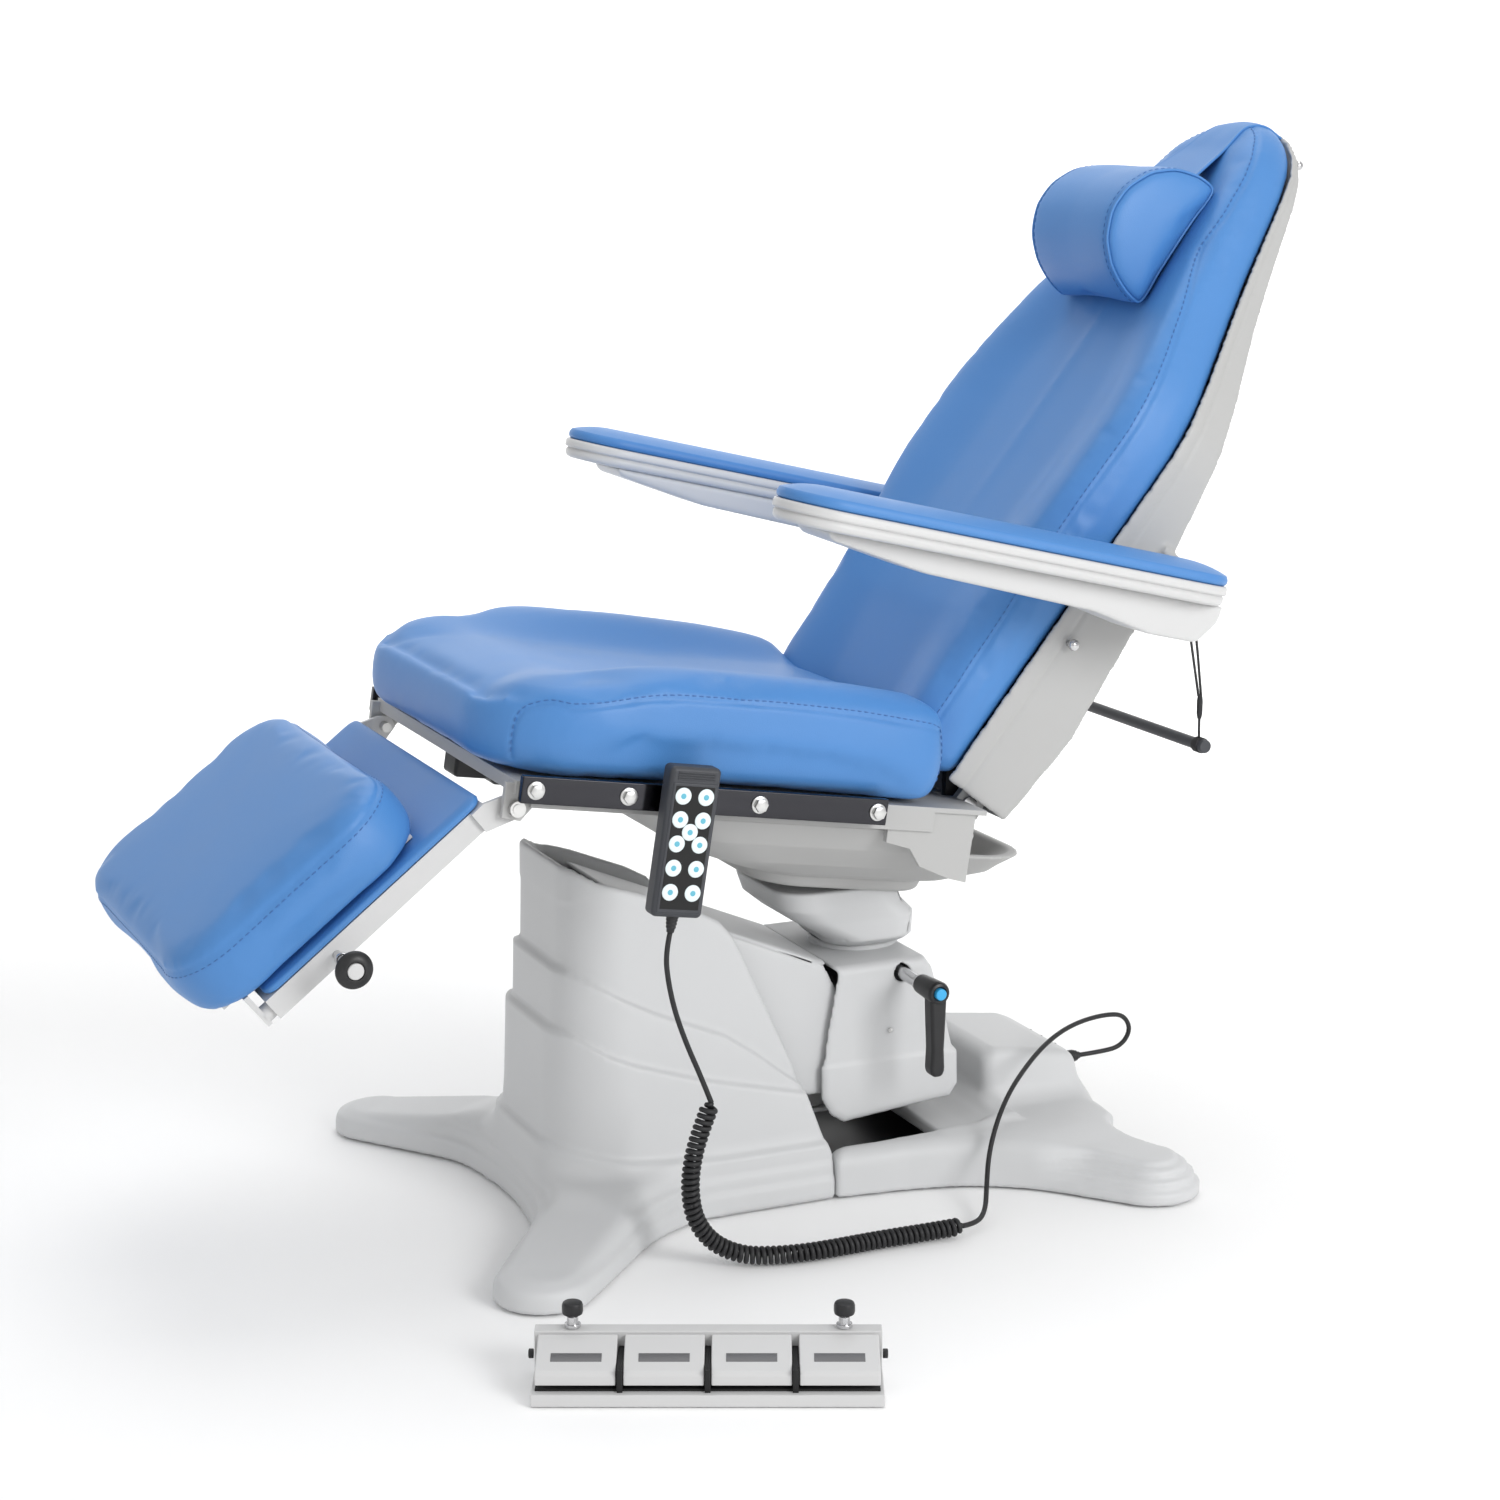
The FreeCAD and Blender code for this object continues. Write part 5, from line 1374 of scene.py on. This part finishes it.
# curly part: a helix round the spline's own line
PC = resample(nurbs_line(COIL), 0.001, closed=False)
tan = np.gradient(PC, axis=0)
tan /= np.linalg.norm(tan, axis=1)[:, None]
u = np.cross(tan[0], (0, 1.0, 0))
u /= np.linalg.norm(u)
U = []
for t in tan:
    u = u - t * (u @ t)
    u /= np.linalg.norm(u)
    U.append(u.copy())
U = np.array(U)
W = np.cross(tan, U)
LC = length(PC)
turns = LC / 0.0069
PER = 22
nh = int(turns * PER)
tq = np.linspace(0, len(PC) - 1, nh)
ix = np.clip(tq.astype(int), 0, len(PC) - 2)
fr_ = (tq - ix)[:, None]
lerp = lambda A: A[ix] * (1 - fr_) + A[ix + 1] * fr_
ph = 2 * math.pi * turns * np.linspace(0, 1, nh)
ends = smoothstep(np.minimum(np.linspace(0, 1, nh), np.linspace(1, 0, nh)) * turns / 1.2)
HX = lerp(PC) + (lerp(U) * np.cos(ph)[:, None] + lerp(W) * np.sin(ph)[:, None]) * 0.0078 * ends[:, None]
zc = lerp(PC)[:, 2]
hang = np.where(zc > 0.03)[0].max()
cuts = [0, hang // 3, 2 * hang // 3, hang, nh - 1]
who = [("swivel", "lift_head_body"), ("lift_head_body", "lift_arm_body"), ("lift_arm_body", "base"), None]
for k in range(4):
    seg = HX[cuts[k]:cuts[k + 1] + 1]
    o = tube_mesh("handset_cord_coil_%d" % (k + 1), seg, 0.003, 10)
    o.data.materials.append(M["rubber"])
    for p in o.data.polygons:
        p.use_smooth = True
    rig.slot(o, "black_rubber")
    if who[k]:
        mid = lerp(PC)
        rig.blend(o, who[k][0], who[k][1], start=tuple(mid[cuts[k]]), end=tuple(mid[cuts[k + 1]]))
    else:
        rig.ride(o, "base")
        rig.replaces(o, "cord_coil")
    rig.cord(o, exit=tuple(seg[0]), length=length(seg), diameter=0.006, far_end="object", lay="coiled", path=seg)

# ------------------------------------------------------------------ carried-over CAD nodes get their finish
KEEP = {"base_frame": "black_steel", "floor_feet": "rubber", "control_box": "black", "tower_pins": "steel", "lift_arm": "grey_steel", "lift_link": "grey_steel",
        "lift_head": "grey_steel", "head_pins": "steel", "swivel_collar": "cover", "swivel_post": "black_steel", "leg_hinge_bolts": "zinc", "leg_actuator": "black",
        "back_hinge_pins": "steel", "leg_carriage": "white", "backrest_frame": "black_steel"}
for n, ob in frame["nodes"].items():
    if ob.hide_render:
        continue
    mt = KEEP.get(n, "black")
    ob.data.materials.clear()
    ob.data.materials.append(M[mt])

# ------------------------------------------------------------------ stage, light, camera
prof = [(-14, 0), (3.6, 0)] + [(3.6 + 2.6 * math.sin(D(q)), 2.6 - 2.6 * math.cos(D(q))) for q in range(6, 91, 6)] + [(6.2, 12)]
fv, ff = [], []
for a_, z_ in prof:
    for w_ in (-18, 18):
        fv.append((a_ * 0.41 + w_ * 0.912, a_ * 0.912 - w_ * 0.41, z_))
for i in range(len(prof) - 1):
    ff.append((2 * i, 2 * i + 1, 2 * i + 3, 2 * i + 2))
fl = new_obj("studio_floor", mesh("studio_floor", fv, ff))
for q in fl.data.polygons:
    q.use_smooth = True
fm = material("studio", (0.97, 0.97, 0.97, 1), 0.8, grain=40, bump=0.0, vary=0.004)
fl.data.materials.append(fm)
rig.stage(fl)
w = bpy.data.worlds.new("studio") if not bpy.context.scene.world else bpy.context.scene.world
bpy.context.scene.world = w
w.use_nodes = True
bg = w.node_tree.nodes.get("Background") or w.node_tree.nodes.new("ShaderNodeBackground")
bg.inputs["Color"].default_value = (1, 1, 1, 1)
bg.inputs["Strength"].default_value = 0.66


def area(name, loc, target, size, power):
    l = bpy.data.lights.new(name, "AREA")
    l.shape = "RECTANGLE"
    l.size, l.size_y = size
    l.energy = power
    o = bpy.data.objects.new(name, l)
    o.location = loc
    o.rotation_euler = (Vector(target) - Vector(loc)).to_track_quat("-Z", "Y").to_euler()
    bpy.context.scene.collection.objects.link(o)
    return o


area("key", (1.3, -3.8, 2.1), (0, 0, 0.6), (1.8, 1.8), 88)
area("fill", (-3.0, -2.0, 2.0), (0, 0, 0.6), (2.4, 2.4), 6)
area("top", (0.3, 0.8, 3.6), (0, 0, 0.5), (2.4, 2.4), 34)
area("wall", (0.6, 2.2, 3.4), (2.6, 6.0, 1.2), (6.0, 2.0), 170)
cam = bpy.data.cameras.new("camera")
cam.sensor_width = 36
cam.lens = 71.28
cam.clip_end = 100
co_ = bpy.data.objects.new("camera", cam)
co_.location = (-1.424, -3.1916, 1.288)
co_.rotation_euler = (D(77.68), 0, D(-24.2))
bpy.context.scene.collection.objects.link(co_)
bpy.context.scene.camera = co_
bpy.context.scene.view_settings.view_transform = "Standard"

lo1, hi1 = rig.bounds()
with open("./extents.json", "w") as f:
    json.dump({"cad": [list(lo0), list(hi0)], "visual": [list(lo1), list(hi1)]}, f)
